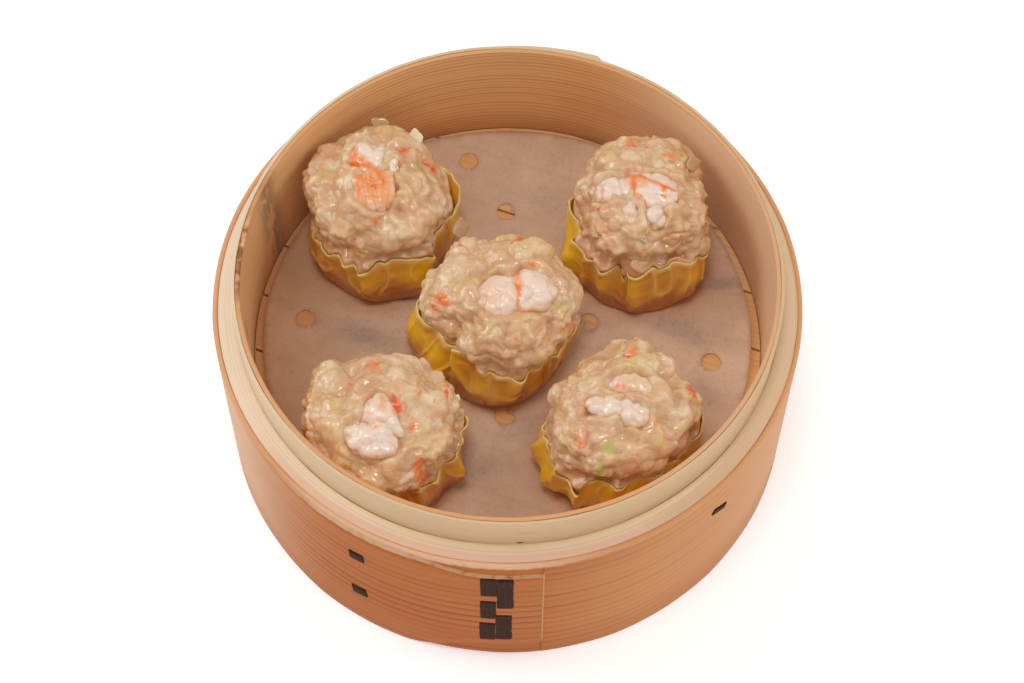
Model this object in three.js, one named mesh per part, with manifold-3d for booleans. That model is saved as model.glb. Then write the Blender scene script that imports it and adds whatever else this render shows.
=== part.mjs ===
// Five siu mai on a perforated paper liner in a small open bamboo steamer basket.
// Millimetres, +Z up, origin at the centre of the basket's underside, front at -Y.
import * as THREE from "three";
import { mergeVertices } from "three/addons/utils/BufferGeometryUtils.js";
import Module from "manifold-3d";

const wasm = await Module();
wasm.setup();

// Basket: hoops of split wood, one inside the other, from the outside in.
const basketRadius = 80;        // outer band at its top edge
const basketHeight = 72;        // top of the raised lip
const ledgeHeight = 59.7;       // top of the outer band and of the ledge the next basket sits on
const bandThickness = 1.3;
const bandFlare = 1.2;          // the outer band is this much wider at the bottom
const ledgeThickness = 4.4;
const lipThickness = 0.9;
const innerThickness = 1.0;
const hoopGap = 0.3;            // between one hoop and the next
const recessHeight = 13.5;      // the lip of the basket below goes this far in
const hoopSegments = 52;

// Outer band's overlap: its free end lies on top, with the corners trimmed to a sweep.
const lapThickness = 0.8;
const lapEnd = 6.7;             // degrees round from the front, towards +X
const lapFull = 30;             // degrees of full thickness behind the end
const lapFade = 75;             // degrees by which it has thinned into the band
const lapTop = 54.4;
const lapBottom = 9;
const lapSweep = [10, 27];      // degrees over which the trimmed edges reach the band's edges
const lapLeast = 0.05;          // keeps the section the same all round
const lapInset = 0.4;           // its shelves stay this far from the band's own edges
const lapChamfer = 0.1;
const endGap = 0.15;            // degrees between the free end's face and the band behind it

// Floor: parallel slats on two battens, turned in the basket.
const floorTop = 34.8;
const slatThickness = 2.4;
const slatCount = 9;
const slatPitch = 17;
const slatTrim = 0.3;           // taken off the outermost slats' thin edges
const slatGap = 0.7;
const slatTurn = -21;           // degrees from +X
const slatFirstGap = -63.5;     // offset of the first gap from the centre, across the slats
const battenSize = [9, 3.4];
const battenOffset = 34;

const paper = {
  radius: 68.9, centre: [-0.3, 1.0], thickness: 0.4, lift: 0.2, holeRadius: 2.7, steps: 56, holeSteps: 12,
};
const paperHoles = [[-11.7, 59.0], [-0.5, 41.5], [22.9, 4.7], [57.1, -8.0], [-0.7, -24.9], [-57.4, 5.7]];

// Stitches of bark: centre azimuth in degrees, centre height, width, height, slant in degrees.
const stitchThickness = 0.6;
const stitches = {
  stitch_front_1: [-3.4, 49.2, 4.0, 12.3, 0],
  stitch_front_2: [-3.58, 33.5, 4.0, 12.1, 0],
  stitch_front_3: [-3.7, 18.3, 4.0, 12.0, 0],
  stitch_front_4: [-0.4, 45.1, 4.1, 21.2, 0],
  stitch_front_5: [-0.65, 21.5, 4.0, 17.9, 0],
  stitch_left_1: [-29.0, 44.7, 4.4, 4.2, -3],
  stitch_left_2: [-29.3, 20.9, 4.6, 4.6, -4],
  stitch_right_1: [43.9, 45.9, 4.8, 2.3, 24],
};

// Siu mai: wrapper and filling share these.
const dumplingHeight = 34;
const dumplingLift = 0.3;       // above the paper
const wrapperThickness = 1.0;
const fillingGap = 0.35;
const fillingFollows = 0.6;     // share of a fold that the filling fills out
const rimGap = 0.5;             // the filling leaves the wrapper this far above its rim
const overhang = 1.3;           // the filling's belt stands out this far over the wrapper's rim
const belly = 1.2;              // the wrapper's swelling at mid height
const rimWave = [0.7, 7];       // height and count of the edge's waves
const footInset = [2.2, 3, 4.4]; // the flat foot, its inside and the filling's bed, from the base's radius
const wrapperLevels = [0.12, 0.5, 0.82, 1]; // shares of the rim's height with a row of points
const beltHeight = 24;          // where the filling is widest
const domeLevels = [-14, 8, 28, 47, 66, 84]; // degrees over the belt with a row of points
const lumpRest = 1.1;           // the filling's surface without lumps lies this far in
const topDip = [1.4, 11];       // the filling's top sinks this deep within this radius
const wallMargin = 0.6;         // a dumpling pressed to the wall is flattened this far from it
const roundSteps = 36;
const lumpCount = 26;
const prawnSteps = 12;
const prawnLevels = [-64, -28, 4, 36, 66]; // degrees over a piece's middle with a row of points
const prawnRidge = 0.05;        // a ridge's height as a share of the piece

// Each one: its base's centre and radius, how its top leans, the wrapper's rim height, and the
// filling's half width towards +X and then every 45 degrees round. Folds stand out at the rim,
// lobes at mid height, and rims raise or lower the edge: each is [degrees round, mm, width in degrees].
const siuMai = [
  { centre: [-36.3, 28.0], lean: [0.1, 4.8], base: 17.4, rim: 17, seed: 4,
    outline: [18.9, 20.3, 19.6, 20.0, 19.8, 21.0, 19.8, 20.0],
    folds: [[262, 2.2, 6], [246, 1.0, 5], [302, 3.4, 12], [8, 2.4, 14], [336, 1.4, 6], [60, 1.0, 12],
      [110, 1.0, 14], [160, 0.8, 12]],
    lobes: [[266, 1.4, 18], [300, 2.2, 13], [10, 2.0, 24], [190, 1.0, 20], [215, 0.8, 9]],
    rims: [[0, -2.5, 16], [32, 2, 14], [190, -2, 18], [262, -2, 7], [290, -2.5, 14], [314, -4, 8],
      [327, -2, 6]] },
  { centre: [37.5, 25.5], lean: [0.1, 3.9], base: 18.2, rim: 18, seed: 21,
    outline: [18.5, 19.6, 19.4, 19.3, 18.2, 20.2, 18.4, 20.6],
    folds: [[160, 1.5, 20], [205, 2.5, 7], [218, 1.2, 5], [237, 2.2, 9], [266, 3.2, 6], [288, 0.5, 10],
      [310, 1.2, 9], [330, 1.5, 6], [30, 1.0, 14], [90, 1.2, 16]],
    lobes: [[198, 4.2, 13], [262, 1.6, 7], [312, 1.5, 12], [160, 1.2, 25], [235, 0.8, 9]],
    rims: [[140, 1.5, 15], [170, 1, 12], [200, -1.5, 12], [222, -1.5, 7], [253, -5, 5], [263, 4, 6],
      [275, 1.5, 5], [290, 2, 12], [322, -0.5, 10]] },
  { centre: [-3.6, -4.5], lean: [2.6, 1.9], base: 18.2, rim: 19, seed: 35,
    outline: [21.7, 20.6, 19.7, 22.2, 21.3, 17.8, 19.6, 20.3],
    folds: [[233, 3.0, 6], [255, 1.8, 5], [268, 0.8, 4], [281, 4.0, 8], [298, 1.5, 5], [320, 1.0, 8],
      [350, 0.8, 12], [40, 1.0, 14], [110, 1.0, 14], [180, 1.5, 12]],
    lobes: [[182, 4.6, 17], [213, 3.8, 9], [262, 0.8, 20], [300, 0.5, 10]],
    rims: [[181, -2, 14], [206, 2, 10], [238, 3.6, 9], [256, 1.5, 7], [281, -1.5, 8], [304, 3.6, 8],
      [340, -2, 14]] },
  { centre: [-31.8, -38.6], lean: [-2.0, -1.0], base: 17.6, rim: 17, seed: 47,
    outline: [20.5, 21.6, 19.3, 20.8, 21.0, 20.0, 20.0, 20.0],
    folds: [[352, 1.0, 5], [336, 1.5, 5], [318, 1.1, 5], [300, 1.3, 6], [10, 1.0, 8], [80, 0.8, 14],
      [130, 1.0, 14], [200, 0.8, 14], [250, 1.0, 12]],
    lobes: [[339, 3.2, 8], [12, 1.0, 10], [300, 0.6, 14]],
    rims: [[350, 1, 12], [300, -1, 14]] },
  { centre: [28.3, -36.0], lean: [2.3, -0.2], base: 18.4, rim: 19, seed: 58,
    outline: [20.0, 18.4, 19.4, 17.8, 20.2, 21.4, 19.0, 19.2],
    folds: [[190, 1.0, 7], [222, 2.2, 4], [236, 2.8, 4], [250, 0.6, 6], [263, 2.2, 8], [0, 3.2, 15],
      [320, 1.0, 12], [60, 1.0, 14], [120, 1.0, 14]],
    lobes: [[190, 2.5, 10], [212, 3.0, 9], [241, 2.4, 6], [358, 2.0, 18]],
    rims: [[182, -4, 12], [208, -4, 8], [225, -2.5, 8], [252, 1, 8], [285, 2.5, 14], [340, -2, 10]] },
];

// Prawn pieces in the tops: place from the filling's centre, top's height over the filling's
// top, size, turn in degrees, ridges across the piece, and arms as [degrees, share, width].
const prawns = {
  siu_mai_1_prawn_1: { on: 0, at: [0.3, -4.6], rise: 2.0, size: [10.5, 12, 8], turn: 8, ridges: 2 },
  siu_mai_1_prawn_2: { on: 0, at: [-1.0, 6.4], rise: 2.5, size: [9.6, 8.4, 7], turn: -30, ridges: 0 },
  siu_mai_1_prawn_3: { on: 0, at: [5.2, 2.4], rise: 2.3, size: [3.4, 5.0, 5], turn: 10, ridges: 0 },
  siu_mai_2_prawn_1: { on: 1, at: [2.6, -1.6], rise: 2.3, size: [15, 9.5, 7], turn: -6, ridges: 0 },
  siu_mai_2_prawn_2: { on: 1, at: [-8.6, -2.8], rise: 1.6, size: [6.4, 7.2, 6], turn: 20, ridges: 0 },
  siu_mai_2_prawn_3: { on: 1, at: [2.6, -10.4], rise: 0.8, size: [6.2, 6.2, 6], turn: 35, ridges: 0 },
  siu_mai_2_prawn_4: { on: 1, at: [-4.9, -9.6], rise: 1.0, size: [4.4, 7.0, 5], turn: 25, ridges: 0 },
  siu_mai_3_prawn_1: { on: 2, at: [4.2, -2.8], rise: 2.6, size: [21, 12.5, 8], turn: 6, ridges: 3,
    arms: [[90, -0.26, 26], [270, -0.26, 26]] },
  siu_mai_4_prawn_1: { on: 3, at: [-0.6, -9.2], rise: 1.9, size: [13.4, 8.4, 7], turn: -12, ridges: 2 },
  siu_mai_4_prawn_2: { on: 3, at: [2.2, -0.6], rise: 2.8, size: [8.6, 8.6, 8], turn: 0, ridges: 0,
    arms: [[-32, 0.7, 20], [95, 0.4, 26], [205, 0.25, 30]] },
  siu_mai_5_prawn_1: { on: 4, at: [2.4, 2.6], rise: 2.1, size: [13.4, 7.0, 6], turn: -8, ridges: 2 },
  siu_mai_5_prawn_2: { on: 4, at: [-5.8, -3.2], rise: 2.0, size: [9.4, 5.0, 6], turn: -4, ridges: 1 },
  siu_mai_5_prawn_3: { on: 4, at: [2.6, -4.8], rise: 2.2, size: [6.6, 6.6, 6], turn: 40, ridges: 0 },
};

const looks = {
  band: [0xcb9469, 0.62], ledge: [0xdcbd93, 0.6], lip: [0xe3cca9, 0.55], inner: [0xb9804f, 0.6],
  slat: [0xb3804f, 0.65], paper: [0xb89478, 0.8], stitch: [0x2e1d17, 0.5],
  wrapper: [0xd9a93a, 0.35], filling: [0xdcb994, 0.35], prawn: [0xeec6b0, 0.3],
};

const ledgeOuter = basketRadius - bandThickness - hoopGap;
const lipOuter = ledgeOuter - ledgeThickness - hoopGap;
const innerOuter = lipOuter - lipThickness - hoopGap;
const innerRadius = innerOuter - innerThickness;
const paperTop = floorTop + paper.lift + paper.thickness;
const dumplingFloor = paperTop + dumplingLift;

const object = new THREE.Group();

function add(name, geometry, look, parent = object) {
  const [color, roughness] = looks[look];
  const mesh = new THREE.Mesh(geometry, new THREE.MeshStandardMaterial({ color, roughness, metalness: 0 }));
  mesh.name = name;
  parent.add(mesh);
  return mesh;
}

// The minimal standard generator, which gives each seed its own even run of draws in 0..1.
function drawsFrom(seed) {
  let state = seed * 7919;
  return () => {
    state = (state * 16807) % 2147483647;
    return state / 2147483647;
  };
}

const radians = THREE.MathUtils.degToRad;
const blend = (x, low, high) => THREE.MathUtils.smoothstep(x, low, high);
const wrapAngle = (angle) => Math.atan2(Math.sin(angle), Math.cos(angle));

// Rows of points, each row once round, joined into one closed skin. Closed rows meet end to
// end, like a hoop's section, and open ones are shut by a fan at each end.
function skin(rows, closed) {
  const round = rows[0].length;
  const points = rows.flat();
  const faces = [];
  const bands = closed ? rows.length : rows.length - 1;
  for (let k = 0; k < bands; k++) {
    const next = (k + 1) % rows.length;
    for (let j = 0; j < round; j++) {
      const i = (j + 1) % round;
      faces.push(k * round + j, k * round + i, next * round + i);
      faces.push(k * round + j, next * round + i, next * round + j);
    }
  }
  if (!closed) {
    fan(points, faces, rows[0], 0, true);
    fan(points, faces, rows[rows.length - 1], (rows.length - 1) * round, false);
  }
  const geometry = new THREE.BufferGeometry();
  geometry.setAttribute("position", new THREE.Float32BufferAttribute(points.flat(), 3));
  geometry.setIndex(faces);
  return geometry;
}

function fan(points, faces, row, start, under) {
  const middle = [0, 1, 2].map((axis) => row.reduce((sum, point) => sum + point[axis], 0) / row.length);
  const tip = points.push(middle) - 1;
  for (let j = 0; j < row.length; j++) {
    const i = (j + 1) % row.length;
    faces.push(tip, start + (under ? i : j), start + (under ? j : i));
  }
}

// ---- basket

function hoop(name, outer, thickness, bottom, top, look) {
  const inner = outer - thickness;
  const section = [[outer, bottom], [outer, top], [inner, top], [inner, bottom], [outer, bottom]];
  const geometry = new THREE.LatheGeometry(section.map(([r, z]) => new THREE.Vector2(r, z)), hoopSegments);
  geometry.rotateX(Math.PI / 2);
  add(name, geometry, look);
}

const bandRadius = (height) => basketRadius + bandFlare * (1 - height / ledgeHeight);
const behindEnd = (azimuth) => (lapEnd - azimuth + 360) % 360;

function lapAt(azimuth) {
  return lapLeast + (lapThickness - lapLeast) * (1 - blend(behindEnd(azimuth), lapFull, lapFade));
}

// The band's section at an azimuth: up the outer face, over the lap's shelf, and down inside.
function bandSection(azimuth) {
  const lap = lapAt(azimuth);
  const sweep = blend(behindEnd(azimuth), ...lapSweep);
  const low = lapBottom + (lapInset - lapBottom) * sweep;
  const high = lapTop + (ledgeHeight - lapInset - lapTop) * sweep;
  return [
    [bandRadius(0), 0], [bandRadius(low), low], [bandRadius(low) + lap, low + lapChamfer],
    [bandRadius(high) + lap, high - lapChamfer], [bandRadius(high), high],
    [bandRadius(ledgeHeight), ledgeHeight],
    [bandRadius(ledgeHeight) - bandThickness, ledgeHeight], [bandRadius(0) - bandThickness, 0],
  ];
}

function outerBand() {
  const step = 360 / hoopSegments;
  const azimuths = Array.from({ length: hoopSegments }, (_, i) => lapEnd + i * step);
  azimuths.push(lapEnd + 360 - endGap);
  const sections = azimuths.map(bandSection);
  const rows = sections[0].map((_, k) => azimuths.map((azimuth, i) => {
    const [r, z] = sections[i][k];
    return [r * Math.sin(radians(azimuth)), -r * Math.cos(radians(azimuth)), z];
  }));
  add("outer_band", skin(rows, true), "band");
}

function stitch(name, [azimuth, height, width, length, slant]) {
  const radius = bandRadius(height) + lapAt(azimuth) + hoopGap + stitchThickness / 2;
  const place = new THREE.Group();
  place.rotation.z = radians(azimuth);
  const strip = add(name, new THREE.BoxGeometry(width, stitchThickness, length), "stitch", place);
  strip.position.set(0, -radius, height);
  strip.rotation.set(-Math.atan(bandFlare / ledgeHeight), radians(slant), 0);
  object.add(place);
}

// ---- floor

// A strip of the round floor between two offsets, its ends following the wall.
function slatShape(from, to, radius) {
  const start = Math.asin(from / radius);
  const end = Math.asin(to / radius);
  const shape = new THREE.Shape();
  shape.absarc(0, 0, radius, start, end, false);
  shape.absarc(0, 0, radius, Math.PI - end, Math.PI - start, false);
  return shape;
}

function floor() {
  const reach = innerRadius - hoopGap;
  const turned = new THREE.Group();
  turned.rotation.z = radians(slatTurn);
  object.add(turned);
  const gaps = Array.from({ length: slatCount - 1 }, (_, i) => slatFirstGap + i * slatPitch);
  const edges = [-reach - slatGap / 2 + slatTrim, ...gaps, reach + slatGap / 2 - slatTrim];
  for (let i = 0; i < slatCount; i++) {
    const shape = slatShape(edges[i] + slatGap / 2, edges[i + 1] - slatGap / 2, reach);
    const geometry = new THREE.ExtrudeGeometry(shape, { depth: slatThickness, bevelEnabled: false, curveSegments: 3 });
    add(`slat_${i + 1}`, geometry, "slat", turned).position.z = floorTop - slatThickness;
  }
  const [width, depth] = battenSize;
  const length = 2 * Math.sqrt(reach ** 2 - (battenOffset + width / 2) ** 2);
  [-battenOffset, battenOffset].forEach((offset, i) => {
    const batten = add(`batten_${i + 1}`, new THREE.BoxGeometry(width, length, depth), "slat", turned);
    batten.position.set(offset, 0, floorTop - slatThickness - hoopGap - depth / 2);
  });
}

function circlePoints([x, y], radius, count) {
  return Array.from({ length: count }, (_, i) => {
    const angle = (i / count) * Math.PI * 2;
    return new THREE.Vector2(x + radius * Math.cos(angle), y + radius * Math.sin(angle));
  });
}

function liner() {
  const shape = new THREE.Shape(circlePoints(paper.centre, paper.radius, paper.steps));
  shape.holes = paperHoles.map((hole) => new THREE.Path(circlePoints(hole, paper.holeRadius, paper.holeSteps)));
  const geometry = new THREE.ExtrudeGeometry(shape, { depth: paper.thickness, bevelEnabled: false });
  add("liner_paper", geometry, "paper").position.z = floorTop + paper.lift;
}

// ---- siu mai

// The lumps of a dumpling's filling, drawn from its seed.
function lumpsOf(dumpling) {
  const draw = drawsFrom(dumpling.seed);
  return Array.from({ length: lumpCount }, () => ({
    angle: draw() * Math.PI * 2, rise: radians(-10 + 85 * draw()), height: 0.5 + 1.1 * draw(),
    width: 0.22 + 0.2 * draw(),
  }));
}

// Sums bells, each [degrees round, height, width in degrees], at an angle.
function bells(list, angle) {
  return list.reduce((sum, [degrees, height, width]) => {
    const away = wrapAngle(angle - radians(degrees)) / radians(width);
    return sum + height * Math.exp(-away * away);
  }, 0);
}

// The half width towards an angle, eased between the eight given ones.
function outlineAt(outline, angle) {
  const place = ((angle / (Math.PI / 4)) % 8 + 8) % 8;
  const from = Math.floor(place);
  const share = (1 - Math.cos((place - from) * Math.PI)) / 2;
  return outline[from] * (1 - share) + outline[(from + 1) % 8] * share;
}

// The wrapper swells from the base to lie just under the filling's widest line.
function bellyRadius(dumpling, angle, share) {
  const top = outlineAt(dumpling.outline, angle) - overhang;
  return dumpling.base + (top - dumpling.base) * share ** 1.2 + belly * Math.sin(share * 3);
}

// Folds stand out from it most at the rim, lobes most at mid height.
function foldsAt(dumpling, angle, share) {
  return bells(dumpling.folds, angle) * (0.1 + 0.9 * share ** 1.6);
}

function wrapperRadius(dumpling, angle, share) {
  return bellyRadius(dumpling, angle, share) + foldsAt(dumpling, angle, share)
    + bells(dumpling.lobes, angle) * Math.sin(share ** 0.8 * Math.PI);
}

function rimHeight(dumpling, angle) {
  return dumpling.rim + bells(dumpling.rims, angle) + rimWave[0] * Math.sin(rimWave[1] * angle + dumpling.seed);
}

// Places a point given by angle, radius and height on a dumpling: the lean grows with height,
// and what would reach past the limit is flattened against the basket's wall.
function place(dumpling, angle, radius, height, limit) {
  const share = Math.min(height / beltHeight, 1);
  const x = dumpling.centre[0] + dumpling.lean[0] * share + radius * Math.cos(angle);
  const y = dumpling.centre[1] + dumpling.lean[1] * share + radius * Math.sin(angle);
  const squeeze = Math.min(1, limit / Math.hypot(x, y));
  return [x * squeeze, y * squeeze, dumplingFloor + height];
}

const angles = Array.from({ length: roundSteps }, (_, i) => (i / roundSteps) * Math.PI * 2);
const wallLimit = innerRadius - wallMargin;

function wrapper(name, dumpling) {
  const outer = (share) => angles.map((angle) => place(dumpling, angle,
    wrapperRadius(dumpling, angle, share), share * rimHeight(dumpling, angle), wallLimit));
  const inner = (share) => angles.map((angle) => place(dumpling, angle,
    wrapperRadius(dumpling, angle, share) - wrapperThickness, share * rimHeight(dumpling, angle),
    wallLimit - wrapperThickness));
  const foot = angles.map((angle) => place(dumpling, angle, dumpling.base - footInset[0], 0, wallLimit));
  const bed = angles.map((angle) => place(dumpling, angle, dumpling.base - footInset[1], wrapperThickness,
    wallLimit));
  const rows = [foot, ...wrapperLevels.map(outer), ...wrapperLevels.toReversed().map(inner), bed];
  add(name, skin(rows, false), "wrapper");
}

// How far the lumps push the filling out towards a direction.
function lumpiness(lumps, angle, rise) {
  return lumps.reduce((sum, lump) => {
    const across = wrapAngle(angle - lump.angle) * Math.cos(rise);
    const distance = Math.hypot(across, rise - lump.rise) / lump.width;
    return sum + lump.height * Math.exp(-distance * distance);
  }, 0);
}

// The filling: inside the wrapper up to the rim, out over it to the widest belt, and a dome.
function filling(dumpling) {
  const lumps = lumpsOf(dumpling);
  const packed = (share, lift = 0) => angles.map((angle) => {
    const radius = bellyRadius(dumpling, angle, share) - wrapperThickness - fillingGap
      + fillingFollows * foldsAt(dumpling, angle, share);
    return place(dumpling, angle, radius, lift + share * rimHeight(dumpling, angle),
      wallLimit - wrapperThickness - fillingGap);
  });
  const bed = angles.map((angle) => place(dumpling, angle, dumpling.base - footInset[2],
    wrapperThickness + fillingGap, wallLimit));
  const dome = (rise) => angles.map((angle) => {
    const out = lumpiness(lumps, angle, rise) - lumpRest;
    const radius = (outlineAt(dumpling.outline, angle) + out) * Math.cos(rise) ** 0.8;
    const dip = topDip[0] * (1 - blend(radius, 0, topDip[1]));
    const height = beltHeight + (dumplingHeight - beltHeight + out * 0.8) * Math.sin(rise) - dip;
    const overRim = rimHeight(dumpling, angle) + 2 * rimGap;
    return place(dumpling, angle, Math.max(radius, 0.5), Math.max(height, overRim), wallLimit);
  });
  const rows = [bed, packed(wrapperLevels[0]), packed(wrapperLevels[2]), packed(1, rimGap),
    ...domeLevels.map((degrees) => dome(radians(degrees)))];
  return skin(rows, false);
}

// A rounded piece with ridges across it and arms that reach out or draw in.
function prawnSurface({ size, turn, ridges, arms = [] }, extra) {
  const [length, width, height] = size;
  const rises = prawnLevels.map(radians);
  const rows = rises.map((rise) => Array.from({ length: prawnSteps }, (_, i) => {
    const angle = (i / prawnSteps) * Math.PI * 2;
    const reach = arms.reduce((sum, [towards, share, spread]) => {
      const away = wrapAngle(angle - radians(towards)) / radians(spread);
      return sum + share * Math.exp(-away * away);
    }, 1);
    const ridge = ridges ? 1 + prawnRidge * Math.cos(Math.PI * ridges * Math.cos(angle)) : 1;
    const out = Math.cos(rise) ** 0.75 * reach * ridge;
    const x = (length / 2 * out + extra) * Math.cos(angle);
    const y = (width / 2 * out + extra) * Math.sin(angle);
    const z = (height / 2) * Math.sin(rise) * ridge + extra * Math.sign(rise);
    const [c, s] = [Math.cos(radians(turn)), Math.sin(radians(turn))];
    return [x * c - y * s, x * s + y * c, z];
  }));
  return skin(rows, false);
}

function prawn(piece, extra = 0) {
  const dumpling = siuMai[piece.on];
  const geometry = prawnSurface(piece, extra);
  geometry.translate(dumpling.centre[0] + dumpling.lean[0] + piece.at[0],
    dumpling.centre[1] + dumpling.lean[1] + piece.at[1],
    dumplingFloor + dumplingHeight + piece.rise - piece.size[2] / 2);
  return geometry;
}

function solid(geometry) {
  const merged = mergeVertices(geometry, 1e-4);
  return new wasm.Manifold(new wasm.Mesh({
    numProp: 3, vertProperties: merged.attributes.position.array, triVerts: new Uint32Array(merged.index.array),
  }));
}

function geometryOf(manifold) {
  const mesh = manifold.getMesh();
  const geometry = new THREE.BufferGeometry();
  geometry.setAttribute("position", new THREE.Float32BufferAttribute(mesh.vertProperties, 3));
  geometry.setIndex(Array.from(mesh.triVerts));
  return geometry;
}

// Each filling has a pocket for each of its prawn pieces, and a piece that touches another
// gives way to the one named before it.
function dumplings() {
  siuMai.forEach((dumpling, i) => {
    wrapper(`siu_mai_${i + 1}_wrapper`, dumpling);
    let meat = solid(filling(dumpling));
    let taken = null;
    for (const [name, piece] of Object.entries(prawns).filter(([, one]) => one.on === i)) {
      const room = solid(prawn(piece, fillingGap));
      const body = solid(prawn(piece));
      add(name, geometryOf(taken ? body.subtract(taken) : body), "prawn");
      taken = taken ? taken.add(room) : room;
    }
    meat = meat.subtract(taken);
    add(`siu_mai_${i + 1}_filling`, geometryOf(meat), "filling");
  });
}

outerBand();
hoop("ledge_hoop", ledgeOuter, ledgeThickness, 0, ledgeHeight, "ledge");
hoop("lip_hoop", lipOuter, lipThickness, recessHeight, basketHeight, "lip");
hoop("inner_wall", innerOuter, innerThickness, recessHeight, basketHeight, "inner");
Object.entries(stitches).forEach(([name, sizes]) => stitch(name, sizes));
floor();
liner();
dumplings();

export default object;
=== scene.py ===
import math
import bpy
import numpy as np
from mathutils import Matrix, Vector
from mathutils.geometry import delaunay_2d_cdt


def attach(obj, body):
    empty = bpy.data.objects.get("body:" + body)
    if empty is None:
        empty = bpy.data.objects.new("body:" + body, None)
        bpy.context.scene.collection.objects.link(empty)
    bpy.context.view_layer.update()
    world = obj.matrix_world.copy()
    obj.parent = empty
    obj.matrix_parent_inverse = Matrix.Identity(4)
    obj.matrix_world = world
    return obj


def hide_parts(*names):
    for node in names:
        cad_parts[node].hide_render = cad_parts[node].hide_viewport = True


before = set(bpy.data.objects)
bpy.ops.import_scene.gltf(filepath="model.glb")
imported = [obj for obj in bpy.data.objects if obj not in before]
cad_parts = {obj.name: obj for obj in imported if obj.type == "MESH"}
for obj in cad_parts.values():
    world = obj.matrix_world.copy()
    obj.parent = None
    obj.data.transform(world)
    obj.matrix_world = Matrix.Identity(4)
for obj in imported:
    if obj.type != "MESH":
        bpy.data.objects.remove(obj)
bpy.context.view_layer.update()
print("frame loaded:", len(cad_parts), "nodes")

# Lengths below are millimetres; meshes are scaled to metres as they are made.
mm = 0.001


# Sums used by every shape.

def smooth(x, low, high):
    # 0 below low, 1 above high and an even S between them
    t = np.clip((x - low) / (high - low), 0, 1)
    return t * t * (3 - 2 * t)


def bell(x):
    # 1 at 0, falling on both sides to about a third at 1
    return np.exp(-x * x)


def away(angle, centre):
    # the shortest way round from centre to angle, in radians
    return np.angle(np.exp(1j * (angle - centre)))


def hill(angle, degrees, width):
    # a bell at that many degrees round, its width in degrees
    return bell(away(angle, math.radians(degrees)) / math.radians(width))


def hills(angle, table):
    # the sum of a table's hills: degrees round, height, width
    return sum(height * hill(angle, degrees, width) for degrees, height, width, *_ in table)


def joined(*parts):
    # grids and numbers side by side in a last axis
    return np.stack(np.broadcast_arrays(*parts), axis=-1)


def turned(x, y, degrees):
    # anticlockwise about the origin
    t = math.radians(degrees)
    return x * math.cos(t) - y * math.sin(t), x * math.sin(t) + y * math.cos(t)


def draws(seed):
    # the minimal standard generator: an even run of numbers in 0..1 for each seed
    state = seed * 7919
    while True:
        state = (state * 16807) % 2147483647
        yield state / 2147483647


def scatter(cell, seed):
    # mixes a lattice point's whole numbers and the seed into an even draw in 0..1
    n = cell[..., 0] * 374761393 + cell[..., 1] * 668265263 + cell[..., 2] * 982451653 + seed * 1274126177
    n = n & 0xFFFFFFFF
    n = ((n ^ (n >> 13)) * 1274126177) & 0xFFFFFFFF
    n = ((n ^ (n >> 15)) * 668265263) & 0xFFFFFFFF
    return (n ^ (n >> 16)) / 4294967295.0


def softNoise(points, size, seed):
    # draws at the corners of cells of that size, blended smoothly between them, in -1..1
    p = points / size
    cell = np.floor(p).astype(np.int64)
    f = p - cell
    f = f * f * (3 - 2 * f)
    total = 0
    for corner in range(8):
        step = np.array([corner & 1, corner >> 1 & 1, corner >> 2 & 1])
        weight = np.prod(np.where(step == 1, f, 1 - f), axis=-1)
        total = total + weight * scatter(cell + step, seed)
    return total * 2 - 1


def strayNoise(points, size, seed, count=3):
    # a vector of soft noises, one for each seed from the given one on
    return joined(*(softNoise(points, size, seed + k) for k in range(count)))


def chunks(points, size, seed, firmness):
    # one stray centre a cell, each with its own tone. Gives the squared distance to the nearest,
    # eased between cells as -log(sum exp(-firmness d^2)) / firmness, and the blended tone
    p = points / size
    cell = np.floor(p).astype(np.int64)
    total, tone = 0, 0
    for index in range(27):
        near = cell + np.array([index % 3 - 1, index // 3 % 3 - 1, index // 9 - 1])
        offset = p - near - joined(*(scatter(near, seed + axis) for axis in range(3)))
        weight = np.exp(-firmness * np.sum(offset * offset, axis=-1))
        total = total + weight
        tone = tone + weight * scatter(near, seed + 7)
    return -np.log(total) / firmness, tone / total


def strokeAt(x, y, stroke):
    # how near a point is to a spot, or to a stroke from one place to another: 1 on it, 0 beyond its width
    fromX, fromY, *to, width = stroke
    toX, toY = to or (fromX, fromY)
    alongX, alongY = toX - fromX, toY - fromY
    share = ((x - fromX) * alongX + (y - fromY) * alongY) / max(alongX ** 2 + alongY ** 2, 1e-6)
    share = np.clip(share, 0, 1)
    far = np.hypot(x - fromX - alongX * share, y - fromY - alongY * share)
    return 1 - smooth(far, width * 0.2, width * 1.3)


# Meshes: grids of points, their faces, and pieces made of them.

def toLinear(colour):
    # 0..255 as seen on a screen to the 0..1 that light adds up in
    c = np.asarray(colour, float) / 255
    return np.where(c <= 0.04045, c / 12.92, ((c + 0.055) / 1.055) ** 2.4)


def makePiece(name, points, faces, finish, nodes=(), grain=None, tint=None, flat=False):
    # grain holds metres along and across the grain for each face corner, tint a colour a point
    mesh = bpy.data.meshes.new(name)
    mesh.from_pydata((points * mm).tolist(), [], faces)
    if grain is not None:
        layer = mesh.uv_layers.new(name="grain")
        layer.data.foreach_set("uv", grain.astype(np.float32).ravel())
    if tint is not None:
        layer = mesh.color_attributes.new(name="tint", type="FLOAT_COLOR", domain="POINT")
        shade = np.concatenate([tint, np.ones((len(tint), 1))], axis=1)
        layer.data.foreach_set("color", shade.astype(np.float32).ravel())
    mesh.polygons.foreach_set("use_smooth", np.full(len(mesh.polygons), not flat))
    mesh.update()
    mesh.materials.append(finish)
    piece = bpy.data.objects.new(name, mesh)
    bpy.context.collection.objects.link(piece)
    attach(piece, "root")
    if nodes:
        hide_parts(*nodes)
    return piece


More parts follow.
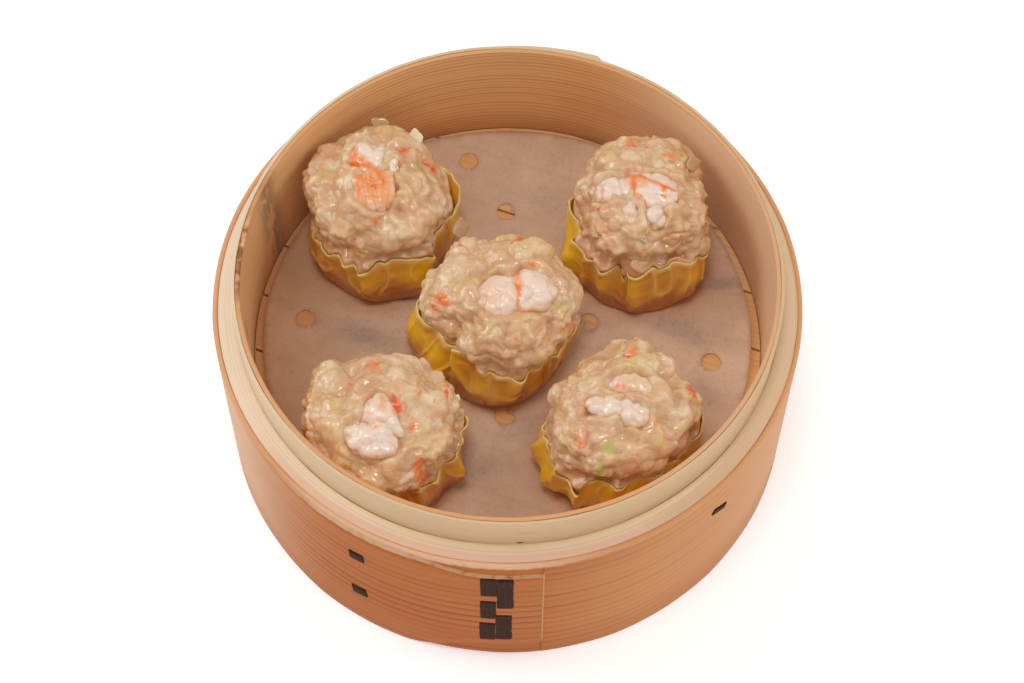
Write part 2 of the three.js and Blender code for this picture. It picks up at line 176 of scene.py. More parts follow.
def gridFaces(rows, columns, closedRows):
    # quads between each row and the next, wound to face out where rows climb and columns run
    # anticlockwise
    k = np.arange(rows if closedRows else rows - 1)[:, None]
    j = np.arange(columns)
    low, up, on = k * columns, (k + 1) % rows * columns, (j + 1) % columns
    return joined(low + j, low + on, up + on, up + j).reshape(-1, 4).tolist()


def gridGrain(along, across):
    # the grain at each quad's corners. The grid has one more row and column than the mesh, so that
    # the last quads don't run back to the start
    both = joined(along, across)
    return np.stack([both[:-1, :-1], both[:-1, 1:], both[1:, 1:], both[1:, :-1]], axis=2).reshape(-1, 2)


def atCorners(values, faces):
    return values[[i for face in faces for i in face]]


def ended(rows):
    # a stack of rings as one list, and after it the middle of the first ring and of the last
    return np.concatenate([rows.reshape(-1, 3), rows[:1].mean(1), rows[-1:].mean(1)])


def cappedFaces(rows):
    # the faces of a stack of rings closed by a fan at each end
    count, columns = rows.shape[:2]
    j = np.arange(columns)
    i, last, middle = (j + 1) % columns, (count - 1) * columns, count * columns
    fans = np.stack([joined(middle, i, j), joined(middle + 1, last + j, last + i)], axis=1)
    return gridFaces(count, columns, False) + fans.reshape(-1, 3).tolist()


# Finishes: a shader's sums written as Python, and its other nodes.

class Signal:
    # one output of a shader node; sums on it add the Math nodes that work them out
    def __init__(self, finish, socket):
        self.finish = finish
        self.socket = socket

    def math(self, operation, *values):
        return self.finish.node("ShaderNodeMath", {"operation": operation}, dict(enumerate(values)))

    def __add__(self, other):
        return self.math("ADD", self, other)

    def __sub__(self, other):
        return self.math("SUBTRACT", self, other)

    def __rsub__(self, other):
        return self.math("SUBTRACT", other, self)

    def __mul__(self, other):
        return self.math("MULTIPLY", self, other)

    def __pow__(self, other):
        return self.math("POWER", self, other)

    __radd__ = __add__
    __rmul__ = __mul__


class Finish:
    # a material with its fixed values set on the shader's own sockets
    def __init__(self, name, fixed):
        self.material = bpy.data.materials.new(name)
        self.material.use_nodes = True
        self.tree = self.material.node_tree
        self.shader = next(n for n in self.tree.nodes if n.type == "BSDF_PRINCIPLED")
        for key, value in fixed.items():
            self.shader.inputs[key].default_value = value

    def node(self, kind, settings, values, output=0):
        made = self.tree.nodes.new(kind)
        for key, value in settings.items():
            setattr(made, key, value)
        for key, value in values.items():
            if isinstance(value, Signal):
                self.tree.links.new(value.socket, made.inputs[key])
            else:
                made.inputs[key].default_value = value
        return Signal(self, made.outputs[output])

    def place(self):
        return self.node("ShaderNodeTexCoord", {}, {}, 3)

    def grain(self):
        return self.node("ShaderNodeUVMap", {"uv_map": "grain"}, {})

    def field(self, name, output=0):
        return self.node("ShaderNodeAttribute", {"attribute_name": name}, {}, output)

    def axes(self, vector):
        made = self.node("ShaderNodeSeparateXYZ", {}, {0: vector})
        return [Signal(self, output) for output in made.socket.node.outputs]

    def mix(self, factor, a, b, how="MIX"):
        # colours: a where factor is 0, b where it is 1
        return self.node("ShaderNodeMix", {"data_type": "RGBA", "blend_type": how},
                         {0: factor, 6: a, 7: b}, 2)

    def paint(self, tone, *layers):
        # each layer's colour laid over the tone by its share
        for share, colour in layers:
            tone = self.mix(share, tone, rgba(colour))
        return tone

    def noise(self, place, scale, detail=2.0, roughness=0.5):
        return self.node("ShaderNodeTexNoise", {},
                         {"Vector": place, "Scale": scale, "Detail": detail, "Roughness": roughness})

    def stretch(self, place, scale, turn=0.0):
        return self.node("ShaderNodeMapping", {}, {"Vector": place, "Scale": scale, "Rotation": (0, 0, turn)})

    def streaks(self, grain, along, across, detail, roughness=0.5):
        # noise with that many cells a metre along and across the grain
        return self.noise(self.stretch(grain, (along, across, 1)), 1.0, detail, roughness)

    def step(self, signal, low, high):
        # 0 below low and 1 above high
        return self.node("ShaderNodeMapRange", {"interpolation_type": "SMOOTHSTEP"},
                         {"Value": signal, "From Min": low, "From Max": high})

    def between(self, signal, rise, fall):
        # 1 between a rise and a fall, each over two values
        return self.step(signal, *rise) * (1 - self.step(signal, *fall))

    def near(self, place, at, low, high):
        # 1 at a place and 0 beyond high
        distance = self.node("ShaderNodeVectorMath", {"operation": "DISTANCE"}, {0: place, 1: at}, 1)
        return 1 - self.step(distance, low, high)

    def wear(self, base, roughness=None, height=None, distance=0.0001, strength=0.5):
        # joins what varies to the shader: colour, roughness and a bump
        self.tree.links.new(base.socket, self.shader.inputs["Base Color"])
        if roughness is not None:
            self.tree.links.new(roughness.socket, self.shader.inputs["Roughness"])
        if height is not None:
            bump = self.node("ShaderNodeBump", {},
                             {"Height": height, "Distance": distance, "Strength": strength})
            self.tree.links.new(bump.socket, self.shader.inputs["Normal"])


def rgba(colour):
    return (*toLinear(colour), 1)


# Wood: the colours of early wood and of its growth lines, the rings' spacing and how unevenly they
# crowd, how dark the rings and the hair lines are, roughness and gloss.
woods = {
    "band": {
        "light": (204, 124, 62), "mid": (190, 108, 48), "line": (140, 62, 26), "ring": 3.7, "crowd": 1.4,
        "depth": 0.62, "hair": 0.2, "rough": 0.6, "gloss": 0.12,
    },
    "ledge": {
        "light": (244, 222, 196), "mid": (236, 208, 178), "line": (204, 162, 122), "ring": 0.9,
        "crowd": 3.0, "depth": 0.3, "hair": 0.25, "rough": 0.6, "gloss": 0.3,
    },
    "lip": {
        "light": (240, 214, 178), "mid": (230, 200, 160), "line": (204, 168, 124), "ring": 2.2,
        "crowd": 3.0, "depth": 0.16, "hair": 0.12, "rough": 0.5, "gloss": 0.3,
    },
    "inner": {
        "light": (252, 200, 138), "mid": (244, 184, 120), "line": (196, 96, 46), "ring": 1.5,
        "crowd": 3.2, "depth": 0.5, "hair": 0.25, "rough": 0.55, "gloss": 0.3,
    },
    "slat": {
        "light": (240, 190, 132), "mid": (228, 172, 110), "line": (204, 128, 62), "ring": 1.7,
        "crowd": 3.0, "depth": 0.36, "hair": 0.3, "rough": 0.65, "gloss": 0.3,
    },
}


def woodFinish(name, edit):
    # growth rings: the fraction of (across / ring spacing + a slow wander) darkens towards 1 by its
    # fourth power, by a strength of each ring's own; hair lines and pores lie over them
    look = woods[name]
    f = Finish(name + "Wood", {"Roughness": look["rough"], "Specular IOR Level": look["gloss"]})
    grain = f.grain()
    perRing = 1 / (look["ring"] * mm)
    drift = f.streaks(grain, 7, 26, 2)
    crowd = f.streaks(grain, 0.8, 60, 1)
    count = f.axes(grain)[1] * perRing + crowd * look["crowd"] + drift * 1.2
    share = count.math("FRACT", count)
    strength = f.streaks(grain, 3, perRing * 0.45, 1)
    late = share ** 4.0 * (1 - f.step(share, 0.94, 1.0)) * (f.step(strength, 0.32, 0.68) * 0.85 + 0.15)
    hairs = f.streaks(grain, 22, 3400, 3, 0.6)
    pores = f.streaks(grain, 240, 5200, 2, 0.6)
    tone = f.mix(f.step(drift, 0.3, 0.7), rgba(look["light"]), rgba(look["mid"]))
    tone = f.paint(tone, (late * look["depth"] * 2.0, look["line"]),
                   (f.step(hairs, 0.5, 0.75) * look["hair"], look["line"]))
    height = late * -0.6 + hairs * 0.5 + pores * 0.3
    f.wear(edit(f, tone, grain), f.step(pores, 0.2, 0.9) * 0.16 + (look["rough"] - 0.08), height, 0.0001, 0.4)
    return f.material


# The basket's sizes, and the band's lap over itself: where it ends, in degrees from the front
# towards +X, and over how many degrees behind that it stays full, fades, and widens to the whole band.
basket = {
    "radius": 80, "height": 72, "ledge": 59.7, "bandThickness": 1.3, "bandFlare": 1.2,
    "ledgeThickness": 4.4, "lipThickness": 0.9, "innerThickness": 1.0, "gap": 0.3, "recess": 13.5,
    "lapThickness": 0.8, "lapEnd": 6.7, "lapFull": 30, "lapFade": 75, "lapTop": 54.4, "lapBottom": 9,
    "lapSweep": (10, 27), "columns": 720,
}
ledgeOuter = basket["radius"] - basket["bandThickness"] - basket["gap"]
lipOuter = ledgeOuter - basket["ledgeThickness"] - basket["gap"]
innerOuter = lipOuter - basket["lipThickness"] - basket["gap"]
innerRadius = innerOuter - basket["innerThickness"]


def aroundRow(azimuth, radius, height):
    # azimuth is in degrees from the front towards +X
    a = np.radians(azimuth)
    return joined(radius * np.sin(a), -radius * np.cos(a), height)


def roundedSection(inner, outer, low, high, soft, faceSteps):
    # the section's outline from the foot of its outer face up, over and down inside, with quarter
    # circles of radius soft at the corners
    quarter = np.linspace(0, math.pi / 2, 5)
    corners = [(outer - soft, low + soft, -math.pi / 2), (outer - soft, high - soft, 0),
               (inner + soft, high - soft, math.pi / 2), (inner + soft, low + soft, math.pi)]
    arcs = [joined(r + soft * np.cos(start + quarter), z + soft * np.sin(start + quarter))
            for r, z, start in corners]
    path = []
    for index, arc in enumerate(arcs):
        share = np.linspace(0, 1, (faceSteps if index in (0, 2) else 3) + 2)[1:-1, None]
        path += [arc, arc[-1] * (1 - share) + arcs[(index + 1) % 4][0] * share]
    return np.concatenate(path)


def sweptHoop(name, wood, section, shape, edit, start):
    # the section carried once round from the azimuth start; shape moves its radius and height
    turn = np.arange(basket["columns"] + 1) * 360 / basket["columns"]
    azimuth = start + turn[:-1]
    radius, height = shape(azimuth, section[:, :1] + 0 * azimuth, section[:, 1:] + 0 * azimuth)
    sides = np.linalg.norm(np.diff(section, axis=0, append=section[:1]), axis=1)
    reach = np.concatenate([[0], np.cumsum(sides)])
    grain = gridGrain(np.radians(turn) * section[0, 0] * mm, reach[:, None] * mm)
    makePiece(name, aroundRow(azimuth, radius, height).reshape(-1, 3), gridFaces(*radius.shape, True),
              woodFinish(wood, edit), (name,), grain)


def wander(azimuth, height, seed, sizes=(26, 30)):
    # slow unevenness over a hoop, the same at 0 and 360 degrees
    a = np.radians(azimuth)
    p = joined(80 * np.cos(a), 80 * np.sin(a), height)
    return softNoise(p, sizes[0], seed) + 0.5 * softNoise(p, sizes[1] / 3, seed + 11)


def bandRadius(height):
    return basket["radius"] + basket["bandFlare"] * (1 - height / basket["ledge"])


def lapAt(behind):
    # the band's second layer thins away at that many degrees behind its end
    return basket["lapThickness"] * (1 - smooth(behind, basket["lapFull"], basket["lapFade"]))


def makeBand():
    # rows climb the outer face over the lap's two shelves, turn over the top and come down inside
    columns, ledge, thickness = basket["columns"], basket["ledge"], basket["bandThickness"]
    azimuth = basket["lapEnd"] + np.append(0.02 + np.arange(columns) * 360 / columns, 360 - 0.03)
    behind = (basket["lapEnd"] - azimuth) % 360
    sweep = smooth(behind, *basket["lapSweep"])
    frayed = 0.5 * softNoise(joined(azimuth, 0, 0), 1.3, 5) * (1 - sweep)
    low = basket["lapBottom"] * (1 - sweep) + 0.3 * sweep
    high = basket["lapTop"] * (1 - sweep) + (ledge - 0.5) * sweep + frayed * 0.4
    # each stretch of the outer face: its start, its end, how far out and its number of rows
    stretches = [(0.35, low, 0, 4), (low + 0.12, high - 0.12, lapAt(behind), 16), (high, ledge - 0.35, 0, 8)]
    rows = [(bandRadius(0) - 0.35, 0)]
    for start, end, out, count in stretches:
        climb = [start + (end - start) * share for share in np.linspace(0, 1, count)]
        rows += [(bandRadius(z) + out, z) for z in climb]
    rim = [(0.12, 0.12), (0.4, 0), (thickness - 0.3, 0), (thickness, 0.3)]
    rows += [(bandRadius(ledge) - inset, ledge - drop) for inset, drop in rim]
    rows += [(bandRadius(z) - thickness, z) for z in [*np.linspace(55, 2, 6), 0]]
    radius, height = (np.stack([row[k] + 0 * azimuth for row in rows]) for k in (0, 1))
    points = aroundRow(azimuth, radius + 0.16 * wander(azimuth, height * 0.3, 3), height)
    along = np.radians(np.append(azimuth, azimuth[0] + 360)) * basket["radius"] * mm
    across = np.pad(height, ((0, 1), (0, 1)), mode="wrap") * mm
    makePiece("outer_band", points.reshape(-1, 3), gridFaces(*height.shape, True),
              woodFinish("band", bandEdit), ("outer_band",), gridGrain(along, across))


def ledgeShape(azimuth, radius, height):
    # the top rounds off towards the band, wavers, opens from the lip in places, and stands higher on
    # the hoop's own lap behind
    onTop = smooth(height, 50, 58)
    across = (radius - lipOuter) / basket["ledgeThickness"]
    lap = smooth(azimuth % 360, 159, 161) * (1 - smooth(azimuth % 360, 188, 205))
    uneven = wander(azimuth, height * 0.2, 17, (14, 12))
    height = height + onTop * (0.12 * uneven - 0.25 * smooth(across, 0.72, 1.0) + 1.5 * lap)
    opened = hills(np.radians(azimuth), [(-34, 1, 20), (46, 1, 14)])
    inward = onTop * (1 - smooth(across, 0, 0.2)) * (0.2 * opened + 0.05 * uneven * (1 - opened))
    return radius + 0.03 * uneven + inward, height


def lipShape(azimuth, radius, height):
    # its own lap stands out from the outer face above the ledge behind, thickest at its end
    uneven = wander(azimuth, height * 0.4, 29, (18, 9))
    lap = smooth(azimuth % 360, 159, 160.5) * (1 - np.clip((azimuth % 360 - 160) / 22, 0, 1))
    outerFace = smooth(radius, lipOuter - 0.5, lipOuter - 0.1) * smooth(height, 60.8, 61.6)
    top = height + smooth(height, 66, 72) * 0.14 * wander(azimuth, 0, 31, (22, 8))
    return radius + 0.09 * uneven + 1.1 * lap * outerFace, top


def innerShape(azimuth, radius, height):
    # a thin dent along the top edge on the left, where the veneer has worn
    uneven = wander(azimuth, height * 0.4, 41, (20, 9))
    nibbled = bell((azimuth % 360 - 264) / 10) * (0.6 + 0.5 * wander(azimuth, 0, 43, (5, 3)))
    return radius + 0.08 * uneven, height - smooth(height, 70, 72) * (0.12 * uneven + 0.9 * nibbled)


# Edits lay other colours over a wood's own, by the place in metres.

def bandEdit(f, tone, grain):
    # painted sheen: paler round the sides and to the right, where the light grazes the wood; darker at
    # the foot; pale end grain with a painted highlight down the lap's end, and pale fibres along its frayed
    # top, which follows the same sweep as the shape
    place = f.place()
    x, y, z = f.axes(place)
    along = f.axes(grain)[0]
    ragged = f.noise(place, 420.0, 2) * 0.0012
    toRight = f.step(x, 0.01, 0.06)
    frontLeft = (1 - f.step(x, 0.0, 0.035)) * (1 - f.step(y, -0.066, -0.05))
    perDegree = math.radians(basket["radius"]) * mm
    behind = (basket["lapEnd"] + 360) * perDegree - along
    sweep = f.step(behind, basket["lapSweep"][0] * perDegree, basket["lapSweep"][1] * perDegree)
    shelf = sweep * ((basket["ledge"] - 0.5 - basket["lapTop"]) * mm) + basket["lapTop"] * mm
    over = z - shelf + (ragged - 0.0006) * 0.5
    frayed = f.between(over, (-0.0004, -0.0001), (0.0001, 0.0004)) * (1 - f.step(sweep, 0.8, 1.0))
    lapEnd = basket["lapEnd"] * perDegree
    end = f.between(along, (lapEnd - 0.00004, lapEnd + 0.0001), (lapEnd + 0.0002, lapEnd + 0.0006))
    return f.paint(
        tone,
        # painted sheen where the light grazes the sides: paler round the sides and back, and to the right
        (f.step(y, -0.070, -0.030) * (0.75 - toRight * 0.35), (242, 200, 164)),
        (f.step(x, -0.002, 0.05) * 0.45, (236, 180, 124)),
        (f.step(z + ragged, 0.0592, 0.0600) * 0.6, (230, 170, 120)),
        ((1 - f.step(z, 0.0, 0.024)) * 0.35, (168, 90, 42)),
        (f.step(z + ragged * 2.2, 0.0590, 0.0606) * frontLeft * 0.7, (240, 200, 166)),
        (frayed * f.step(f.noise(place, 500.0, 2), 0.25, 0.5) * 0.7, (236, 190, 148)),
        # pale end grain with a painted highlight down the lap's end
        (end * f.between(z, (0.0085, 0.0095), (0.0542, 0.0546)) * 0.55, (244, 200, 150)))


def ledgeEdit(f, tone, grain):
    # pinkish wood on the outer half of the top in front, grey fibres to the right, and pale yellow
    # wood by the lip
    x, y, _ = f.axes(f.place())
    across = f.axes(grain)[1]
    front = 1 - f.step(y, -0.060, -0.035)
    fibres = f.step(f.streaks(grain, 60, 2600, 3, 0.6), 0.3, 0.7) * 0.4 + 0.4
    grey = f.step(x, 0.028, 0.046) * front * (1 - f.step(across, 0.0626, 0.0632))
    return f.paint(
        tone,
        (f.between(across, (0.0578, 0.0592), (0.0612, 0.0622)) * front * 0.75, (232, 184, 152)),
        (grey * fibres, (214, 186, 150)),
        (f.step(x, 0.03, 0.07) * 0.6, (222, 184, 136)),
        (f.step(across, 0.0626, 0.0634) * front * 0.6, (242, 216, 172)))


def lipEdit(f, tone, grain):
    # painted shade: darker and yellower to the front and right, where less light falls than on the left;
    # a small dark knot at the foot of the outer face and an orange streak above it
    place = f.place()
    x = f.axes(place)[0]
    knot = f.near(f.stretch(place, (0.5, 1, 1)), (0.00165, -0.0735, 0.0606), 0.0002, 0.0007)
    streak = f.near(f.stretch(place, (0.16, 1, 1)), (0.0008, -0.0735, 0.0664), 0.0002, 0.0008)
    return f.paint(
        tone,
        # painted shade to the front and right, more on the right
        (f.step(x, -0.055, -0.01) * 0.45, (216, 178, 130)),
        (f.step(x, 0.04, 0.07) * 0.4, (216, 172, 120)),
        (streak * 0.5, (222, 158, 96)),
        (knot, (96, 34, 16)))


def innerEdit(f, tone, grain):
    # an upright seam with grey-brown damp stains round it on the left of the wall, painted shade at the foot,
    # painted light paling both sides, and a darker top edge, red-brown where it has worn
    place = f.place()
    x, y, z = f.axes(place)
    seamAt = f.node("ShaderNodeMapRange", {}, {"Value": z, "From Min": 0.036, "From Max": 0.060,
                                               "To Min": 0.0279, "To Max": 0.0262})
    gap = y - seamAt
    gap = gap.math("ABSOLUTE", gap)
    side = f.step(x * -1, 0.03, 0.04)
    blotch = f.noise(f.stretch(place, (1, 1, 0.45)), 190.0, 3, 0.6)
    damp = (1 - f.step(gap, 0.0005, 0.0075)) * side * f.step(blotch, 0.38, 0.54)
    second = f.near(f.stretch(place, (1, 1, 0.3)), (-0.0711, -0.0092, 0.0165), 0.0004, 0.0026)
    seam = (1 - f.step(gap, 0.0001, 0.0004)) * side * f.step(blotch, 0.3, 0.55)
    worn = f.between(y, (-0.016, -0.002), (0.012, 0.022)) * side * f.step(blotch, 0.36, 0.5)
    return f.paint(
        tone,
        (damp * 0.85, (112, 80, 56)),
        (second * 0.6, (104, 76, 58)),
        (seam * 0.7, (70, 44, 30)),
        # painted shade at the foot of the wall
        ((1 - f.step(z, 0.035, 0.048)) * 0.3, (150, 80, 42)),
        # painted light: both sides paler, the right more
        (f.step(x, 0.02, 0.06) * 0.7, (254, 222, 186)),
        (f.step(x * -1, 0.035, 0.06) * 0.3, (254, 214, 164)),
        (f.step(z, 0.0712, 0.0716) * 0.65, (212, 146, 96)),
        (f.step(z, 0.0704, 0.0712) * worn * 0.8, (136, 66, 44)))


def slatEdit(f, tone, grain):
    # darker and browner towards the left: a painted shadow of the left wall
    x = f.axes(f.place())[0]
    return f.paint(tone, ((1 - f.step(x, -0.062, -0.02)) * 0.6, (186, 112, 62)))


def makeHoops():
    makeBand()
    ledgeSection = roundedSection(ledgeOuter - basket["ledgeThickness"] - 0.36, ledgeOuter + 0.28, 0,
                                  basket["ledge"], 0.25, 12)
    sweptHoop("ledge_hoop", "ledge", ledgeSection, ledgeShape, ledgeEdit, 160)
    low, high = basket["recess"], basket["height"]
    lipSection = roundedSection(lipOuter - basket["lipThickness"], lipOuter, low, high, 0.25, 14)
    sweptHoop("lip_hoop", "lip", lipSection, lipShape, lipEdit, 128)
    innerSection = roundedSection(innerRadius, innerOuter + 0.24, low, high - 0.15, 0.22, 20)
    sweptHoop("inner_wall", "inner", innerSection, innerShape, innerEdit, 246)


# Stitches: degrees round from the front towards +X, height, width, length and slant in degrees.
stitches = {
    "stitch_front_1": (-3.3, 48.4, 4.15, 11.4, 0), "stitch_front_2": (-3.4, 33.2, 4.15, 12.1, 0),
    "stitch_front_3": (-3.6, 18.0, 4.15, 12.0, 0), "stitch_front_4": (-0.25, 44.1, 4.3, 19.8, 0),
    "stitch_front_5": (-0.5, 21.2, 4.3, 17.9, 0), "stitch_left_1": (-29.0, 44.7, 4.4, 4.2, -3),
    "stitch_left_2": (-29.3, 20.9, 4.6, 4.6, -4), "stitch_right_1": (44.2, 46.3, 5.4, 2.4, 24),
}


def barkFinish():
    # fibrous dark brown, redder in patches and black where it is worn
    f = Finish("bark", {"Specular IOR Level": 0.05})
    grain = f.grain()
    fibres = f.streaks(grain, 180, 2600, 3, 0.6)
    patches = f.streaks(grain, 260, 260, 3, 0.6)
    tone = f.mix(f.step(fibres, 0.35, 0.75), rgba((50, 24, 11)), rgba((80, 44, 20)))
    tone = f.paint(tone, (f.step(patches, 0.55, 0.75) * 0.5, (92, 44, 32)),
                   (1 - f.step(patches, 0.34, 0.46), (20, 8, 8)))
    f.wear(tone, patches * 0.4 + 0.35, fibres, 0.0001, 0.3)
    return f.material


def makeStitch(name, finish):
    # a ring of 16 points carried along the strip, bowed with the band and dipping in at both ends
    azimuth, middle, width, length, slant = stitches[name]
    upright = length > width
    along = np.linspace(-0.5, 0.5, 28)[:, None]
    ring = np.linspace(0, 2 * math.pi, 16, endpoint=False)[None, :]
    square = np.sign(np.cos(ring)) * np.abs(np.cos(ring)) ** 0.2
    thick = np.sign(np.sin(ring)) * np.abs(np.sin(ring)) ** 0.5
    ragged = 1 + 0.06 * softNoise(joined(along * 9, square, 0), 0.5, len(name))
    tip = smooth(np.abs(along), 0.47, 0.5)
    side = square * min(length, width) / 2 * ragged * (1 - 0.04 * tip)
    onward = along * max(length, width) + 0 * ring
    across, up = turned(*((side, onward) if upright else (onward, side)), -slant)
    lap = lapAt((basket["lapEnd"] - azimuth) % 360)
    radius = bandRadius(middle + up) + lap + (0.3 * thick + 0.12 - 0.3 * tip)
    rows = aroundRow(azimuth + np.degrees(across / basket["radius"]), radius, middle + up)
    if not upright:
        rows = rows[::-1]
    faces = cappedFaces(rows)
    grain = joined(*((up, across) if upright else (across, up))).reshape(-1, 2)
    grain = np.concatenate([grain, grain[:1], grain[-1:]]) * mm
    makePiece(name, ended(rows), faces, finish, (name,), atCorners(grain, faces))


slatTurn = -21  # degrees from +X that the floor's slats run; the battens lie across them


def makeFloor():
    # the slats and battens as they are in the frame, merged, with their edges taken off. The grain is
    # shifted from one to the next
    finish = woodFinish("slat", slatEdit)
    for index, name in enumerate([f"slat_{i}" for i in range(1, 10)] + ["batten_1", "batten_2"]):
        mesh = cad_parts[name].data
        flatPoints = np.empty(len(mesh.vertices) * 3)
        mesh.vertices.foreach_get("co", flatPoints)
        points, back = np.unique(np.round(flatPoints.reshape(-1, 3), 6), axis=0, return_inverse=True)
        faces = [[int(back.ravel()[i]) for i in face.vertices] for face in mesh.polygons]
        run, side = turned(points[:, 0], points[:, 1], -slatTurn)
        if name.startswith("batten"):
            run, side = side, run
        grain = atCorners(joined(run + index * 0.31, side + index * 0.043), faces)
        piece = makePiece(name, points / mm, faces, finish, (name,), grain, flat=True)
        edge = piece.modifiers.new("edges", "BEVEL")
        edge.width = 0.3 * mm
        edge.segments = 2
        edge.limit_method = "ANGLE"
        edge.angle_limit = math.radians(40)


# Tones: dry, the painted shadow of the left wall towards the left, wet round the siu mai's feet, and damp.
# Damp stains: place, half length, half width, turn in degrees, strength. Each hole's torn edge: degrees
# round, reach inwards as a share, width in degrees.
paper = {
    "radius": 68.9, "centre": (-0.3, 1.0), "top": 35.2, "thickness": 0.2, "hole": 2.7, "spacing": 1.9,
    "holes": [(-11.7, 59.0), (-0.5, 41.5), (22.9, 4.7), (57.1, -8.0), (-0.7, -24.9), (-57.4, 5.4)],
    "tears": [(30, 0.0, 20), (20, 0.55, 26), (200, 0.75, 30), (-12, -0.1, 14), (40, 0.65, 40), (0, 0.0, 20)],
    "tones": [(230, 196, 168), (198, 152, 116), (208, 148, 96), (186, 162, 146)],
    "damp": [(51, 0.6, 11, 3.6, -18, 0.95), (60, 16.4, 7, 2.4, 4, 0.85), (-40.5, -0.6, 11, 3.6, -22, 0.75),
             (56.5, -20, 6, 5, 0, 0.5), (-10, -42, 10, 6, 10, 0.6), (12, 44, 12, 7, -20, 0.3),
             (2, -30, 9, 5, 20, 0.35)],
}


def holeRadius(index, angle):
    degrees, reach, width = paper["tears"][index]
    return paper["hole"] * (1 - reach * hill(angle, degrees, width)) * (1 + 0.012 * np.sin(3 * angle + index))


def paperWave(x, y):
    # low waves of damp paper, a little lift at the rim of the sheet and a sag into the slats' gaps,
    # which are 17 mm apart from 63.5 mm on
    p = joined(x, y, 0)
    r = np.hypot(x, y)
    gap = np.abs((turned(x, y, -slatTurn)[1] + 63.5 + 8.5) % 17 - 8.5)
    lift = 0.5 * smooth(r, 62, 69) * (1 + softNoise(p, 15, 8))
    sag = 0.10 * bell(gap / 1.4) * (1 - smooth(r, 55, 66))
    return 0.16 * softNoise(p, 24, 3) + 0.07 * softNoise(p, 9, 5) + lift - sag


def paperTint(points):
    # darker and browner to the left as a painted shadow of the left wall, warm and wet round each foot, and
    # damp in greyish patches that end sharply towards the front; the second result is how damp
    x, y = points[:, 0], points[:, 1]
    base, leftShadowTone, wet, damp = (toLinear(tone) for tone in paper["tones"])
    # painted shadow of the left wall over the left of the sheet
    left = smooth(-x, 34, 68)[:, None]
    base = base * (1 - left) + leftShadowTone * left
    beyond = [np.hypot(x - one["centre"][0], y - one["centre"][1]) - one["base"] for one in siuMai]
    foot = bell(np.maximum(np.min(beyond, axis=0), 0) / 4.0) * (0.5 + 0.3 * softNoise(points, 7, 21))
    base = base * (1 - foot[:, None]) + wet * foot[:, None]
    stain = 0 * x
    for atX, atY, length, width, degrees, strength in paper["damp"]:
        along, across = turned(x - atX, y - atY, -degrees)
        across = across + 0.8 * softNoise(points, 9, 12)
        across = across * np.where(across > 0, 0.75, 1.5)
        stain = np.maximum(stain, strength * bell(np.hypot(along / length, across / width)))
    stain = np.clip(stain * (1 + 0.4 * softNoise(points, 6, 14)), 0, 1)
    return base * (1 - stain[:, None]) + damp * stain[:, None], stain


def makePaper():
    # a net of triangles over the round sheet, its rim and holes kept as edges
    turn = np.linspace(0, 2 * math.pi, 240, endpoint=False)
    small = np.linspace(0, 2 * math.pi, 40, endpoint=False)
    outlines = [(paper["centre"], turn, paper["radius"] + 0.12 * np.sin(3 * turn) + 0.05 * np.sin(17 * turn))]
    outlines += [(hole, small, holeRadius(index, small)) for index, hole in enumerate(paper["holes"])]
    loops = [at + joined(r * np.cos(angle), r * np.sin(angle)) for at, angle, r in outlines]
    step = paper["spacing"]
    i, j = np.meshgrid(np.arange(-42, 43), np.arange(-48, 49))
    inside = joined((i + (j % 2) / 2) * step, j * step * 0.866).reshape(-1, 2)
    keep = np.hypot(*(inside - paper["centre"]).T) < paper["radius"] - 1.1
    for hole in paper["holes"]:
        keep &= np.hypot(*(inside - hole).T) > paper["hole"] + 0.7
    edges, start = [], 0
    for loop in loops:
        count = len(loop)
        edges += [(start + k, start + (k + 1) % count) for k in range(count)]
        start += count
    made = delaunay_2d_cdt([Vector(p) for p in np.concatenate([*loops, inside[keep]])], edges, [], 0, 1e-5)
    xy = np.array([tuple(p) for p in made[0]])
    faces = np.array([list(face) for face in made[2]])
    middle = xy[faces].mean(1)
    keep = np.hypot(*(middle - paper["centre"]).T) < paper["radius"] - 0.02
    for index, hole in enumerate(paper["holes"]):
        x, y = (middle - hole).T
        keep &= np.hypot(x, y) > holeRadius(index, np.arctan2(y, x)) * 0.985
    used, back = np.unique(faces[keep], return_inverse=True)
    x, y = xy[used].T
    points = joined(x, y, paper["top"] + paperWave(x, y))
    tint, stain = paperTint(points)
    piece = makePiece("liner_paper", points, back.reshape(-1, 3).tolist(), paperFinish(),
                      ("liner_paper",), tint=tint)
    wetness = piece.data.attributes.new("stain", "FLOAT", "POINT")
    wetness.data.foreach_set("value", stain.astype(np.float32))
    wall = piece.modifiers.new("thickness", "SOLIDIFY")
    wall.thickness = paper["thickness"] * mm
    wall.offset = -1


